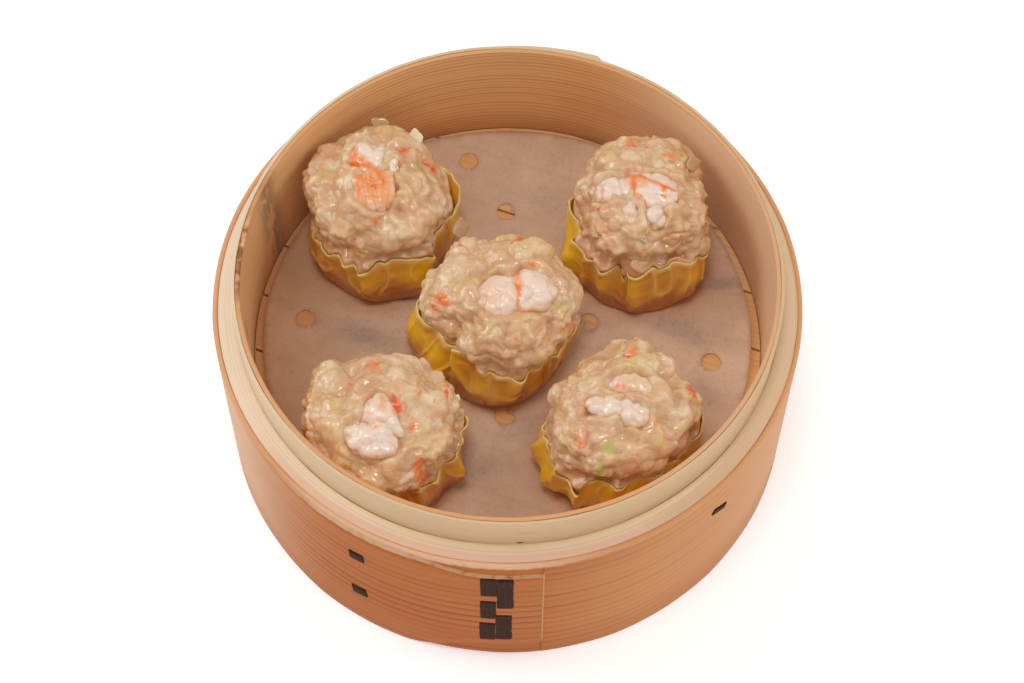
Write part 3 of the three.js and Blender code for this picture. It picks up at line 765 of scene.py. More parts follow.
def paperFinish():
    # damp paper: clouded and crumpled, with specks, a fine fibre, and painted shade of the slats' gaps
    # faintly through it
    f = Finish("greaseproofPaper", {"Specular IOR Level": 0.3})
    place = f.place()
    tone = f.field("tint")
    cloud = f.noise(place, 34.0, 3, 0.55)
    crumpled = f.noise(place, 210.0, 3, 0.6)
    fleck = f.noise(place, 900.0, 2, 0.6)
    fibre = f.noise(place, 2600.0, 2, 0.6)
    for share in (f.step(cloud, 0.32, 0.66) * 0.8, f.step(crumpled, 0.4, 0.65) * 0.3):
        tone = f.mix(share, tone, f.mix(1.0, tone, (0.84, 0.8, 0.76, 1), "MULTIPLY"))
    across = f.axes(f.stretch(place, (1, 1, 1), math.radians(-slatTurn)))[1] + 0.0635
    # painted shade of the slats' gaps under the sheet
    gap = 1 - f.step(across.math("PINGPONG", across, 0.0085), 0.0004, 0.0012)
    tone = f.paint(tone, (f.step(fleck, 0.5, 0.75) * (f.field("stain", 2) * 0.2 + 0.14), (122, 96, 80)),
                   (gap * 0.06, (130, 90, 64)))
    f.wear(tone, fibre * 0.2 + 0.55, fibre * 0.4 + cloud, 0.00025, 0.4)
    return f.material


# Sizes that all the siu mai share, how many lumps each has, and how many columns their meshes have.
dumpling = {
    "height": 34, "floor": 35.7, "belt": 24, "rimGap": 0.5, "fillsFolds": 2.1, "dip": (1.4, 11),
    "margin": 0.6, "lumps": 26, "wrapperColumns": 420, "fillingColumns": 360,
}
wallLimit = innerRadius - dumpling["margin"]

# Each has its base's centre and radius, its top's lean, its rim's height, and the half widths of its
# top every 45 degrees round from +X.
# Folds: degrees round, how far out at the rim, width in degrees, sideways lean of the crest in degrees.
# Lobes: degrees round, how far out at mid height, width. Rims: degrees round, extra height, width.
# Mounds: place from the filling's centre, radius, rise. Marks: colour, place and radius of a spot, or
# start, end and half width of a stroke. Sunny: how much painted light brightens the whole wrapper.
siuMai = [
    {
        "centre": (-36.3, 28.0), "lean": (0.1, 4.8), "base": 17.4, "rim": 17, "seed": 4,
        "outline": (18.9, 20.3, 19.6, 20.0, 19.8, 21.0, 19.8, 20.0),
        "folds": [(262, 2.2, 6, -6), (246, 1.0, 5, 0), (302, 3.4, 12, 10), (12, 4.4, 18, 0),
                  (336, 1.4, 6, 6), (60, 1.0, 12, 0), (110, 1.0, 14, 0), (160, 0.8, 12, 0)],
        "lobes": [(266, 1.4, 18), (300, 2.2, 13), (10, 2.0, 24), (190, 1.0, 20), (215, 0.8, 9)],
        "rims": [(0, -1.5, 14), (30, 3.5, 14), (190, -2, 18), (262, -1, 7), (290, 1, 14), (314, 0, 8),
                 (327, 1, 6)],
        "mounds": [(-9.8, -2.4, 5.0, 0.9), (5.6, -5.0, 1.5, -1.8)],
        "marks": [("orange", 7.1, 7.1, 2.4), ("orange", 15.0, 5.9, 1.4), ("orange", 6.0, 2.8, 1.1),
                  ("orange", -0.6, -14.5, 1.1), ("red", -6.9, -15.7, 0.5), ("red", -6.4, -18.2, 0.5),
                  ("yellow", 4.1, -13.6, 1.4), ("yellow", 10.5, -7.6, 1.4), ("pale", -8.2, -3.7, 2.2),
                  ("pale", -12.9, 3.8, 2.4), ("yellow", -5.2, -15.7, 1.6), ("red", 7.1, 11.8, 0.5),
                  ("orange", 11.1, 8.5, 1.1), ("red", 5.4, 6.9, 8.5, 9.0, 0.9),
                  ("red", 14.2, 6.7, 16.1, 4.1, 0.8)],
    },
    {
        "centre": (37.5, 25.5), "lean": (0.1, 3.9), "base": 18.2, "rim": 18, "seed": 21,
        "outline": (18.5, 19.6, 19.4, 19.3, 18.2, 20.2, 18.4, 20.6),
        "folds": [(172, 3.6, 14, 0), (205, 2.5, 7, -4), (218, 1.2, 5, 0), (237, 2.2, 9, 0),
                  (266, 3.2, 6, -8), (288, 0.5, 10, 0), (310, 1.2, 9, 4), (330, 1.5, 6, 0),
                  (30, 1.0, 14, 0), (90, 1.2, 16, 0)],
        "lobes": [(198, 4.2, 13), (262, 1.6, 7), (312, 1.5, 12), (160, 1.2, 25), (235, 0.8, 9)],
        "rims": [(140, 1.5, 15), (174, 3.6, 13), (200, -1.5, 12), (222, -1.5, 7), (253, -5, 5),
                 (263, 4, 6), (275, 1.5, 5), (290, 2, 12), (322, -0.5, 10)],
        "mounds": [(11.6, -3.8, 1.6, -1.6), (0, -16.5, 4.0, 0.7)],
        "marks": [("orange", -3.6, 15.1, 1.9), ("orange", 7.5, 10.5, 1.4), ("orange", -4.9, 11.5, 0.8),
                  ("orange", -0.8, 4.1, 0.8), ("red", 0.4, 13.4, 0.5), ("pale", 4.3, 7.0, 1.9),
                  ("yellow", -9.1, 4.4, 1.9), ("orange", -11.2, -13.5, 1.1), ("red", -14.5, -7.8, 0.5),
                  ("red", -12.9, -8.0, 0.5), ("pale", -2.4, -16.0, 1.9), ("yellow", -11.5, 12.4, 1.6),
                  ("orange", 8.9, -16.8, 0.5), ("pale", 7.0, 5.4, 1.4),
                  ("orange", -5.5, 13.5, -2.0, 13.8, 0.8), ("orange", 5.6, 10.8, 8.6, 9.2, 0.7),
                  ("pepper", -2.9, -8.9, -2.8, -9.3, 0.45)],
    },
    {
        "centre": (-3.6, -4.5), "lean": (2.6, 1.9), "base": 18.2, "rim": 19, "seed": 35,
        "outline": (21.7, 20.6, 19.7, 22.2, 21.3, 17.8, 19.6, 20.3),
        "folds": [(233, 3.0, 6, -8), (255, 1.8, 5, 0), (268, 0.8, 4, 0), (281, 4.0, 8, 3),
                  (298, 1.5, 5, 0), (320, 1.0, 8, 0), (350, 0.8, 12, 0), (40, 1.0, 14, 0),
                  (110, 1.0, 14, 0), (178, 2.8, 14, 0)],
        "lobes": [(182, 4.6, 17), (213, 3.8, 9), (262, 0.8, 20), (300, 0.5, 10)],
        "rims": [(178, 1.5, 12), (206, 2, 10), (238, 3.6, 9), (256, 1.5, 7), (281, -1.5, 8),
                 (304, 3.6, 8), (340, -2, 14)],
        "mounds": [(-14.0, 8.0, 4.0, 1.0), (-5.5, 3.5, 3.0, -0.9)],
        "marks": [("red", 4.3, 15.0, 1.6), ("orange", 2.4, 18.0, 1.1), ("orange", 7.2, 5.3, 1.1),
                  ("orange", 3.7, 2.5, 1.1), ("orange", -12.3, 13.9, 1.1), ("orange", -17.0, -3.3, 1.6),
                  ("red", -19.1, -4.4, 0.5), ("red", -18.1, -5.0, 0.5), ("yellow", -8.9, -12.1, 1.9),
                  ("yellow", 6.5, -12.7, 1.4), ("orange", 10.5, -14.3, 0.8), ("orange", 3.3, -15.8, 0.8),
                  ("yellow", 14.8, -6.1, 1.9), ("pale", -15.8, 8.5, 2.4), ("yellow", -2.8, -14.4, 1.4),
                  ("orange", 17.6, -8.1, 0.8), ("orange", -10.3, 9.5, 1.1),
                  ("red", 2.1, 13.0, 6.3, 15.0, 0.45), ("orange", -16.8, -2.0, -15.0, -5.0, 1.1)],
    },
    {
        "centre": (-31.8, -38.6), "lean": (-2.0, -1.0), "base": 17.6, "rim": 17, "seed": 47,
        "outline": (20.5, 21.6, 19.3, 20.8, 21.0, 20.0, 20.0, 20.0),
        "folds": [(352, 1.0, 5, 0), (336, 1.5, 5, 4), (318, 1.1, 5, 0), (300, 1.3, 6, 0),
                  (10, 2.8, 16, 0), (80, 0.8, 14, 0), (130, 1.0, 14, 0), (200, 0.8, 14, 0),
                  (250, 1.0, 12, 0)],
        "lobes": [(339, 3.2, 8), (12, 1.0, 10), (300, 0.6, 14)],
        "rims": [(2, 2, 14), (300, -1, 14)],
        "mounds": [(-1.5, 5.0, 3.5, -0.8), (14.0, 3.0, 4.0, 0.8)],
        "marks": [("orange", -1.4, 12.5, 2.4), ("orange", -7.5, 8.1, 1.1), ("orange", 17.6, 8.4, 1.1),
                  ("orange", 5.5, -0.4, 1.6), ("orange", 9.2, -5.4, 1.4), ("yellow", -11.5, 2.4, 1.6),
                  ("yellow", -12.7, 10.6, 1.6), ("pale", 13.6, 3.3, 2.4), ("orange", 11.5, -15.1, 1.9),
                  ("yellow", 12.0, -6.3, 1.1), ("red", 14.4, 2.3, 0.4), ("orange", 10.0, 3.9, 0.8),
                  ("red", 4.6, 2.2, 5.9, -1.4, 1.0), ("orange", -7.9, 8.6, -5.8, 8.2, 0.6),
                  ("red", 17.2, 6.5, 17.6, 4.6, 0.6), ("orange", 11.2, -12.6, 10.2, -15.6, 0.9),
                  ("orange", 10.5, -16.5, 14.0, -17.2, 0.8), ("yellow", -11.2, 2.4, -10.4, -0.6, 0.9)],
    },
    {
        "centre": (28.3, -36.0), "lean": (2.3, -0.2), "base": 18.4, "rim": 19, "seed": 58, "sunny": 0.85,
        "outline": (20.0, 18.4, 19.4, 17.8, 20.2, 21.4, 19.0, 19.2),
        "folds": [(190, 1.0, 7, 0), (222, 2.2, 4, -3), (236, 2.8, 4, 5), (250, 0.6, 6, 0),
                  (263, 2.2, 8, 0), (0, 3.2, 15, 0), (320, 1.0, 12, 0), (60, 1.0, 14, 0),
                  (120, 1.0, 14, 0)],
        "lobes": [(190, 2.5, 10), (212, 3.0, 9), (241, 2.4, 6), (358, 2.0, 18)],
        "rims": [(182, -4, 12), (208, -4, 8), (225, -2.5, 8), (252, 1, 8), (285, 2.5, 14), (340, -2, 10)],
        "mounds": [(-4.0, -9.0, 5.0, 0.7), (8.0, -11.0, 4.0, 0.7)],
        "marks": [("orange", 18.1, 5.6, 1.6), ("red", 1.0, 11.0, 0.8), ("orange", 1.9, 13.0, 1.1),
                  ("orange", -1.2, 1.0, 1.1), ("orange", 3.1, 4.7, 0.7), ("orange", 7.4, -7.4, 0.8),
                  ("orange", -11.5, -12.9, 1.4), ("orange", -12.7, -11.0, 0.8),
                  ("green", -4.8, -13.7, 1.5), ("green", -6.9, -17.6, 1.2), ("yellow", -1.7, 14.6, 1.6),
                  ("yellow", 0.9, 9.1, 1.4), ("yellow", -10.3, 6.0, 1.4), ("pale", 7.0, 8.4, 2.4),
                  ("pink", -17.0, -6.2, 1.1), ("pink", 16.3, 2.6, 1.4), ("yellow", 8.9, -11.5, 1.4),
                  ("red", 0.2, 11.6, 1.8, 11.6, 0.5), ("orange", 2.4, 14.2, 2.8, 12.0, 0.8),
                  ("red", 17.0, 5.0, 18.2, 2.6, 0.9), ("pink", -11.8, -9.0, -11.0, -12.4, 0.7)],
    },
]

# Colours of meat, dough, prawn and onion, in the light's own scale; the crease and under tones are painted
# shade on the mince.
foodTones = {
    "meat": (235, 198, 147), "meatPink": (238, 187, 146), "creaseShade": (212, 156, 108),
    "under": (212, 150, 104), "pale": (248, 226, 190), "yellow": (236, 208, 140),
    "orange": (250, 138, 70), "red": (240, 88, 40), "pink": (244, 168, 140), "green": (196, 208, 84),
    "amber": (190, 116, 38), "gold": (222, 156, 56), "bright": (252, 200, 32), "rimPale": (244, 214, 134),
    "prawn": (250, 226, 208), "prawnPink": (250, 212, 182), "prawnOrange": (255, 128, 22),
    "apricot": (250, 158, 74), "pepper": (84, 54, 36), "chip": (206, 168, 120),
    "chipPink": (222, 168, 136),
}
foodTones = {key: toLinear(value) for key, value in foodTones.items()}


def coloured(rows, tone, *layers):
    # one tone all over, and others laid over it by their shares
    tint = np.zeros(rows.shape) + foodTones[tone]
    for over, share in layers:
        tint = tint + (foodTones[over] - tint) * np.clip(share, 0, 1)[..., None]
    return tint


def makeMorsel(name, rows, tint, finish, nodes):
    makePiece(name, ended(rows), cappedFaces(rows), finish, nodes, tint=ended(tint))


def outlineAt(one, angle):
    # the half width towards an angle, eased between the eight given ones
    place = (angle / (math.pi / 4)) % 8
    start = np.floor(place).astype(int)
    share = (1 - np.cos((place - start) * math.pi)) / 2
    outline = np.array(one["outline"])
    return outline[start % 8] * (1 - share) + outline[(start + 1) % 8] * share


def rimHeight(one, angle):
    return one["rim"] + hills(angle, one["rims"]) + 0.7 * np.sin(7 * angle + one["seed"])


def bellyRadius(one, angle, share):
    # the cup swells from its base to lie just under the filling's widest line
    top = outlineAt(one, angle) - 1.3
    return one["base"] + (top - one["base"]) * share ** 1.2 + 1.2 * np.sin(share * 3.0)


def foldsAt(one, angle, share):
    return hills(angle, one["folds"]) * (0.1 + 0.9 * share ** 1.6)


def wrapperRadius(one, angle, share):
    # folds stand out from the belly most at the rim, lobes most at mid height
    middle = np.sin(np.clip(share, 0, 1) ** 0.8 * math.pi)
    return bellyRadius(one, angle, share) + foldsAt(one, angle, share) + hills(angle, one["lobes"]) * middle


def wrapperThickness(share):
    return 0.9 - 0.35 * smooth(share, 0.85, 1)


def placed(one, angle, radius, height, limit):
    # the lean grows with height, and what would pass the limit is flattened against the wall
    share = np.minimum(height / dumpling["belt"], 1)
    x = one["centre"][0] + one["lean"][0] * share + radius * np.cos(angle)
    y = one["centre"][1] + one["lean"][1] * share + radius * np.sin(angle)
    squeeze = np.minimum(1, limit / np.hypot(x, y))
    return joined(x * squeeze, y * squeeze, dumpling["floor"] + height)


def wrapperSheet(one, angle, share):
    # the outside: angles swept sideways by the folds' lean, the radius with creases, bulges, and a frill
    # and a flare that grow towards the rim, the waving rim's height, and the creases for the colour
    seed = one["seed"]
    crest = sum(hill(angle, degrees, width) * lean for degrees, _, width, lean in one["folds"])
    bent = angle + np.radians(crest) * share ** 1.3
    p = joined(20 * np.cos(angle), 20 * np.sin(angle), share * 18)
    level, tall = p[:1] * [1, 1, 0], p * [1, 1, 0.1]
    rim = rimHeight(one, angle) + 0.8 * softNoise(level, 2.8, seed) + 0.35 * softNoise(level, 1.1, seed)
    frill = 0.75 * softNoise(tall, 4.4, seed + 3) + 0.35 * softNoise(tall, 2.0, seed + 4)
    # pinched creases run where a stretched noise passes zero
    slant = p + 2.5 * strayNoise(p, 7.0, seed + 10)
    pinch = bell(softNoise(slant * [1, 1, 0.45], 6.0, seed + 5) / 0.1)
    fine = bell(softNoise(slant * [1, 1, 0.6], 3.4, seed + 6) / 0.13)
    bulge = softNoise(p, 6.0, seed + 8)
    skin = 0.75 * pinch + 0.3 * fine + 0.7 * bulge + 0.15 * softNoise(p, 1.4, seed + 9)
    skin = skin * np.sin(share * 3.0)
    flare = 0.5 + 1.3 * softNoise(level, 3.6, seed + 13) + 0.6 * softNoise(level, 1.7, seed + 14)
    radius = wrapperRadius(one, angle, share) + frill * share ** 4 + skin
    radius = radius + smooth(share, 0.8, 1) * flare - 0.2
    return bent, radius, rim, pinch, fine, skin


def makeWrapper(index, one, finish):
    # rings from the foot up the outside, over the thin rim and a little way down inside
    angle = np.linspace(0, 2 * math.pi, dumpling["wrapperColumns"], endpoint=False)[None, :]
    outerShare = np.linspace(0, 1, 52)[1:, None] ** 0.9
    innerShare = np.linspace(1, 0.55, 16)[:, None]
    share = np.concatenate([outerShare, innerShare])
    inside = np.concatenate([0 * outerShare, 0 * innerShare + 1])
    bent, radius, rim, pinch, fine, skin = wrapperSheet(one, angle, share)
    wall = inside * wrapperThickness(share)
    radius = radius - wall
    foot = [placed(one, angle, one["base"] - inset, up, wallLimit)
            for inset, up in [(2.4, -0.25), (0.7, 0.1)]]
    walls = placed(one, bent, radius, share * rim, wallLimit - wall)
    # amber low down and in hollows, meat through the dough with painted shade; golden higher and bright
    # yellow on free folds and where sunny, thin dough with painted light; pale on creases and along the rim
    mottle = softNoise(walls, 5.0, 2) * 0.5 + softNoise(walls, 1.6, 9) * 0.3
    stand = foldsAt(one, angle, share) + skin
    free = smooth(radius - outlineAt(one, angle), -0.5, 2.5) * smooth(share, 0.3, 0.8)
    # painted light: the whole wrapper brightened towards yellow by its sunny share
    sunny = one.get("sunny", 0) * smooth(share + 0.2 * mottle, -0.3, 0.3)
    tint = coloured(
        walls, "amber",
        ("gold", smooth(share + 0.25 * mottle + 0.08 * stand, 0.2, 0.85)),
        ("bright", np.maximum(free * 0.9, sunny)),
        ("rimPale", np.clip(0.55 * pinch + 0.25 * fine, 0, 1) * smooth(share, 0.1, 0.6) * 0.45),
        ("rimPale", smooth(share + 0.03 * mottle, 0.88, 1.0) * 0.75),
        ("gold", inside * 0.5 * (1 - smooth(share, 0.9, 1))))
    skirt = coloured(np.concatenate(foot), "amber")
    name = f"siu_mai_{index}_wrapper"
    rows, tint = np.concatenate([*foot, walls]), np.concatenate([skirt, tint])
    makeMorsel(name, rows, tint, finish, (name,))


def lumpsOf(one):
    # lumps all over the top: the angles round and up, height, and width as an angle, by seeded draws
    draw = draws(one["seed"])
    return [(next(draw) * 2 * math.pi, math.radians(-10 + 85 * next(draw)), 0.5 + 1.1 * next(draw),
             0.22 + 0.2 * next(draw)) for _ in range(dumpling["lumps"])]


def nestle(one, look, rows):
    # the mince sinks under a prawn piece and swells up round its edge
    x, y = (rows[..., k] - one["centre"][k] - one["lean"][k] - look["at"][k] for k in (0, 1))
    along, across = turned(x, y, -look["turn"])
    half = np.array(look["size"][:2]) / 2
    beyond = (np.hypot(along / half[0], across / half[1]) - 1) * half.min()
    top = smooth(rows[..., 2], dumpling["floor"] + 26, dumpling["floor"] + 30)
    return top * (0.9 * bell((beyond - 1.0) / 1.1) - 0.8 * (1 - smooth(beyond, -1.5, 0.4)))


def makeFilling(index, one, finish):
    # a packed stem that presses into the wrapper's folds, up to a limit, an overhang that spills a
    # little over its rim, and a dome pushed out by lumps
    seed = one["seed"]
    angle = np.linspace(0, 2 * math.pi, dumpling["fillingColumns"], endpoint=False)[None, :]
    stemShare = np.linspace(0.55, 1, 16)[:, None]
    bent, sheet, rim, *_ = wrapperSheet(one, angle, stemShare)
    stemRadius = np.minimum(sheet - wrapperThickness(stemShare) - 0.12,
                            bellyRadius(one, angle, stemShare) + dumpling["fillsFolds"])
    stem = placed(one, bent, stemRadius, stemShare * rim, wallLimit - 1.4)
    rise = np.radians(np.linspace(-14, 88, 150))[:, None]
    push = -1.1
    for towards, up, height, width in lumpsOf(one):
        push = push + height * bell(np.hypot(away(angle, towards) * np.cos(rise), rise - up) / width)
    radius = (outlineAt(one, angle) + push) * np.cos(rise) ** 0.8
    dip = dumpling["dip"][0] * (1 - smooth(radius, 0, dumpling["dip"][1]))
    height = dumpling["belt"] + (dumpling["height"] - dumpling["belt"] + push * 0.8) * np.sin(rise) - dip
    height = np.maximum(height, rim + dumpling["rimGap"] + 0.8)
    dome = placed(one, angle, np.maximum(radius, 0.4), height, wallLimit)
    share = np.linspace(0, 1, 16)[1:-1, None, None]
    around = joined(np.cos(angle), np.sin(angle), 0)
    spill = (0.6 + 0.8 * softNoise(around * 20, 6.0, seed + 50))[..., None] * bell((share - 0.3) / 0.2)
    shoulder = stem[-1:] * (1 - share) + dome[:1] * share + around * spill
    rows = np.concatenate([stem, shoulder, dome])
    # relief: coarse lumps and mince, each a pebble pattern, and grains, moved along the surface's normal
    normal = np.cross(np.roll(rows, -1, axis=1) - np.roll(rows, 1, axis=1), np.gradient(rows, axis=0))
    normal /= np.maximum(np.linalg.norm(normal, axis=-1, keepdims=True), 1e-9)
    p = rows + strayNoise(rows, 3.2, seed + 60) * 1.1
    far1, tone1 = chunks(p, 7.0, seed, 10)
    far2, tone2 = chunks(p, 2.7, seed + 20, 9)
    grains = softNoise(rows, 1.1, seed + 40) + 0.6 * softNoise(rows, 0.6, seed + 41)
    crumbly = 0.5 + 0.9 * smooth(softNoise(rows, 6.5, seed + 43), -0.5, 0.5)
    relief = 1.1 - 3.6 * far1 - (1.7 * far2 - 0.2) * crumbly + 0.8 * softNoise(rows, 10, seed + 42)
    relief = relief + 0.14 * grains * crumbly
    x, y = (rows[..., k] - (one["centre"][k] + one["lean"][k]) for k in (0, 1))
    top = smooth(rows[..., 2] - dumpling["floor"], one["rim"], one["rim"] + 4)
    # pits in the mounds, later painted with shade
    pitShade = 0 * x
    for fromX, fromY, size, lift in one["mounds"]:
        mound = np.exp(-((x - fromX) ** 2 + (y - fromY) ** 2) / size ** 2) * top
        relief = relief * (1 - 0.5 * mound) + lift * mound
        pitShade = pitShade + (lift < 0) * mound
    for look in prawns[index - 1]:
        relief = relief + nestle(one, look, rows)
    fade = [np.zeros(len(stem)), np.linspace(0.1, 2.5, len(shoulder)).clip(0, 1), np.ones(len(dome))]
    rows = rows + normal * (relief * np.concatenate(fade)[:, None])[..., None]
    rows[..., :2] *= np.minimum(1, (innerRadius - 0.25) / np.hypot(rows[..., 0], rows[..., 1]))[..., None]
    # warm mince, pinker in patches, darker and pinker low down and in the creases and pits as painted shade,
    # pale and yellow bits, then the marks
    # painted shade in the creases between lumps
    creaseShade = smooth(far1, 0.12, 0.36) * 0.35 + smooth(far2, 0.14, 0.38) * 0.15
    # painted shade low down, where the mince lies in shade above the wrapper's rim
    low = 1 - smooth(rows[..., 2] - dumpling["floor"], one["rim"] - 1, one["rim"] + 8)
    stray = 0.5 * strayNoise(rows, 1.5, 77, 2) + 0.4 * strayNoise(rows, 0.7, 79, 2)
    patchy = 0.85 + 0.4 * softNoise(rows, 0.9, 81)
    marks = [(tone, strokeAt(x + stray[..., 0], y + stray[..., 1], stroke) * patchy * top)
             for tone, *stroke in one["marks"]]
    tint = coloured(
        rows, "meat",
        ("meatPink", 0.45 + 0.5 * softNoise(rows, 7.0, 4)),
        ("pale", smooth(tone2, 0.58, 0.8) * 0.5),
        ("yellow", smooth(-tone2, -0.34, -0.14) * 0.35),
        ("meatPink", smooth(softNoise(rows, 3.0, seed + 71), 0.1, 0.6) * 0.6),
        ("pale", smooth(tone1, 0.6, 0.8) * 0.5),
        ("yellow", smooth(-tone1, -0.35, -0.15) * 0.35),
        ("orange", smooth(softNoise(rows, 1.5, seed + 70), 0.86, 0.95) * 0.6),
        ("creaseShade", np.maximum(creaseShade, pitShade * 0.8)),
        ("under", low * 0.4),
        *marks)
    name = f"siu_mai_{index}_filling"
    makeMorsel(name, rows, tint, finish, (name,))


# Prawn pieces of each siu mai: place from the filling's centre, height of the top over the filling's
# nominal top, size, turn in degrees, how square, ridges across, curled folds (centre and spacing),
# arms (degrees, share, width), and strokes of colour (tone, strength, start, end, half width).
prawns = [
    [
        {
            "at": (-0.8, -5.3), "rise": 2.1, "size": (12.4, 13.4, 8), "turn": 8, "ridges": 2, "square": 4,
            "strokes": [("apricot", 1.0, -0.8, 4.4, 0.8, -2.0, 7.4),
                        ("prawnOrange", 0.7, -4.2, 3.2, -3.6, -3.6, 1.1),
                        ("prawnOrange", 0.6, 1.4, 4.6, 3.0, 0.4, 1.3),
                        ("prawnOrange", 0.5, -2.6, 1.6, 0.6, -1.6, 0.6),
                        ("prawnPink", 0.8, -4.4, -7.2, 3.8, -6.8, 1.0)],
        },
        {
            "at": (-3.0, 4.6), "rise": 1.8, "size": (11.0, 10.2, 7), "turn": -30, "square": 2.4,
            "arms": [(60, 0.12, 24), (330, 0.1, 18)],
            "strokes": [("prawnOrange", 0.95, -4.2, 1.4, -3.2, -2.6, 1.9),
                        ("apricot", 0.7, -2.0, -1.4, 0.4, -3.4, 1.4),
                        ("prawnOrange", 1.0, -3.6, -2.8, 3.2, -4.4, 1.1)],
        },
        {"at": (4.4, 1.2), "rise": 1.6, "size": (3.8, 6.0, 5), "turn": 10, "square": 2.2},
    ],
    [
        {
            "at": (0.2, -2.2), "rise": 2.0, "size": (19.0, 11.6, 7), "turn": -6, "square": 2.2,
            "arms": [(155, 0.1, 20), (20, -0.06, 20), (300, 0.1, 24), (250, -0.12, 14)],
            "strokes": [("apricot", 0.8, -4.4, 1.8, -1.4, 0.6, 2.0),
                        ("prawnOrange", 1.0, -5.2, 3.8, -1.2, 3.0, 1.4),
                        ("prawnOrange", 1.0, -3.6, 2.6, -3.9, -2.4, 1.0),
                        ("prawnOrange", 0.9, -4.6, -2.2, -2.2, -3.4, 0.9),
                        ("prawnOrange", 1.0, -1.2, 2.8, 4.4, -0.4, 1.1),
                        ("prawnOrange", 1.0, 4.4, -0.4, 4.4, -3.0, 0.9),
                        ("prawnOrange", 0.9, 4.6, -0.6, 8.0, -0.6, 0.8)],
        },
        {"at": (-9.6, -2.8), "rise": 2.1, "size": (8.8, 8.6, 7), "turn": 20, "square": 2.2},
        {"at": (2.4, -9.6), "rise": 0.9, "size": (6.8, 7.0, 6), "turn": 35, "square": 2.8},
        {
            "at": (-4.8, -9.2), "rise": 1.4, "size": (5.6, 8.8, 6), "turn": 25, "square": 2.4,
            "strokes": [("prawnPink", 0.5, 0, -2, 0, 1, 1.5)],
        },
    ],
    [
        {
            "at": (3.0, -2.4), "rise": 2.0, "size": (23.0, 14.6, 8), "turn": 12, "folds": (6.4, 0.0, 2.9),
            "arms": [(88, -0.34, 15), (262, -0.14, 12), (130, -0.06, 14), (232, 0.1, 20), (50, 0.14, 16),
                     (318, 0.06, 18)],
            "square": 2.0,
            "strokes": [("apricot", 0.9, 0.2, 4.6, 0.4, -1.6, 1.7),
                        ("prawnOrange", 0.8, 0.4, 1.0, 0.8, -6.4, 0.7),
                        ("prawnOrange", 0.7, 0.6, 5.6, 0.9, 4.6, 1.0),
                        ("prawnPink", 0.8, -5.0, 1.0, -1.4, -2.0, 2.2),
                        ("pink", 0.35, -9.6, 0, -6.4, -4.0, 2.4)],
        },
    ],
    [
        {
            "at": (-1.2, -8.4), "rise": 1.4, "size": (15.0, 10.4, 7), "turn": -12, "square": 2.1,
            "arms": [(180, 0.08, 20), (320, 0.08, 18)],
            "strokes": [("prawnPink", 0.7, 5.0, 1.0, 6.0, -3.0, 1.6),
                        ("prawnPink", 0.6, -3.0, 4.0, 2.0, 4.0, 2.0)],
        },
        {
            "at": (0.8, -2.2), "rise": 2.5, "size": (9.4, 11.4, 8), "turn": 0,
            "arms": [(-34, 0.8, 18), (98, 0.3, 24), (205, 0.26, 28)],
            "square": 2.0,
            "strokes": [("pink", 0.45, -3.6, -1.0, -4.2, -4.0, 2.0),
                        ("apricot", 0.6, 0.6, 3.4, 1.0, 1.0, 1.6),
                        ("prawnOrange", 0.9, -0.8, -4.2, 0.4, -4.4, 0.7),
                        ("prawnOrange", 0.7, 3.4, 2.6, 4.4, -0.4, 0.8),
                        ("orange", 0.5, -3.0, 1.6, -2.6, 2.2, 0.6)],
        },
    ],
    [
        {
            "at": (2.2, 3.2), "rise": 0.5, "size": (14.4, 8.0, 6), "turn": -8, "square": 2.0,
            "strokes": [("meat", 0.75, -1.0, 0, 5.0, -0.5, 4.4),
                        ("orange", 0.9, -4.2, -0.4, -3.0, -0.8, 0.9),
                        ("pink", 0.4, -5.0, 0.6, -3.0, 0.4, 1.8)],
        },
        {
            "at": (-4.6, -2.9), "rise": 1.4, "size": (12.4, 6.6, 6), "turn": -4, "square": 2.2,
            "strokes": [("prawnPink", 0.6, -5.0, 1.6, 3.0, 2.4, 1.4)],
        },
        {"at": (2.0, -4.8), "rise": 1.9, "size": (8.6, 7.4, 6), "turn": -35, "square": 2.6},
    ],
]


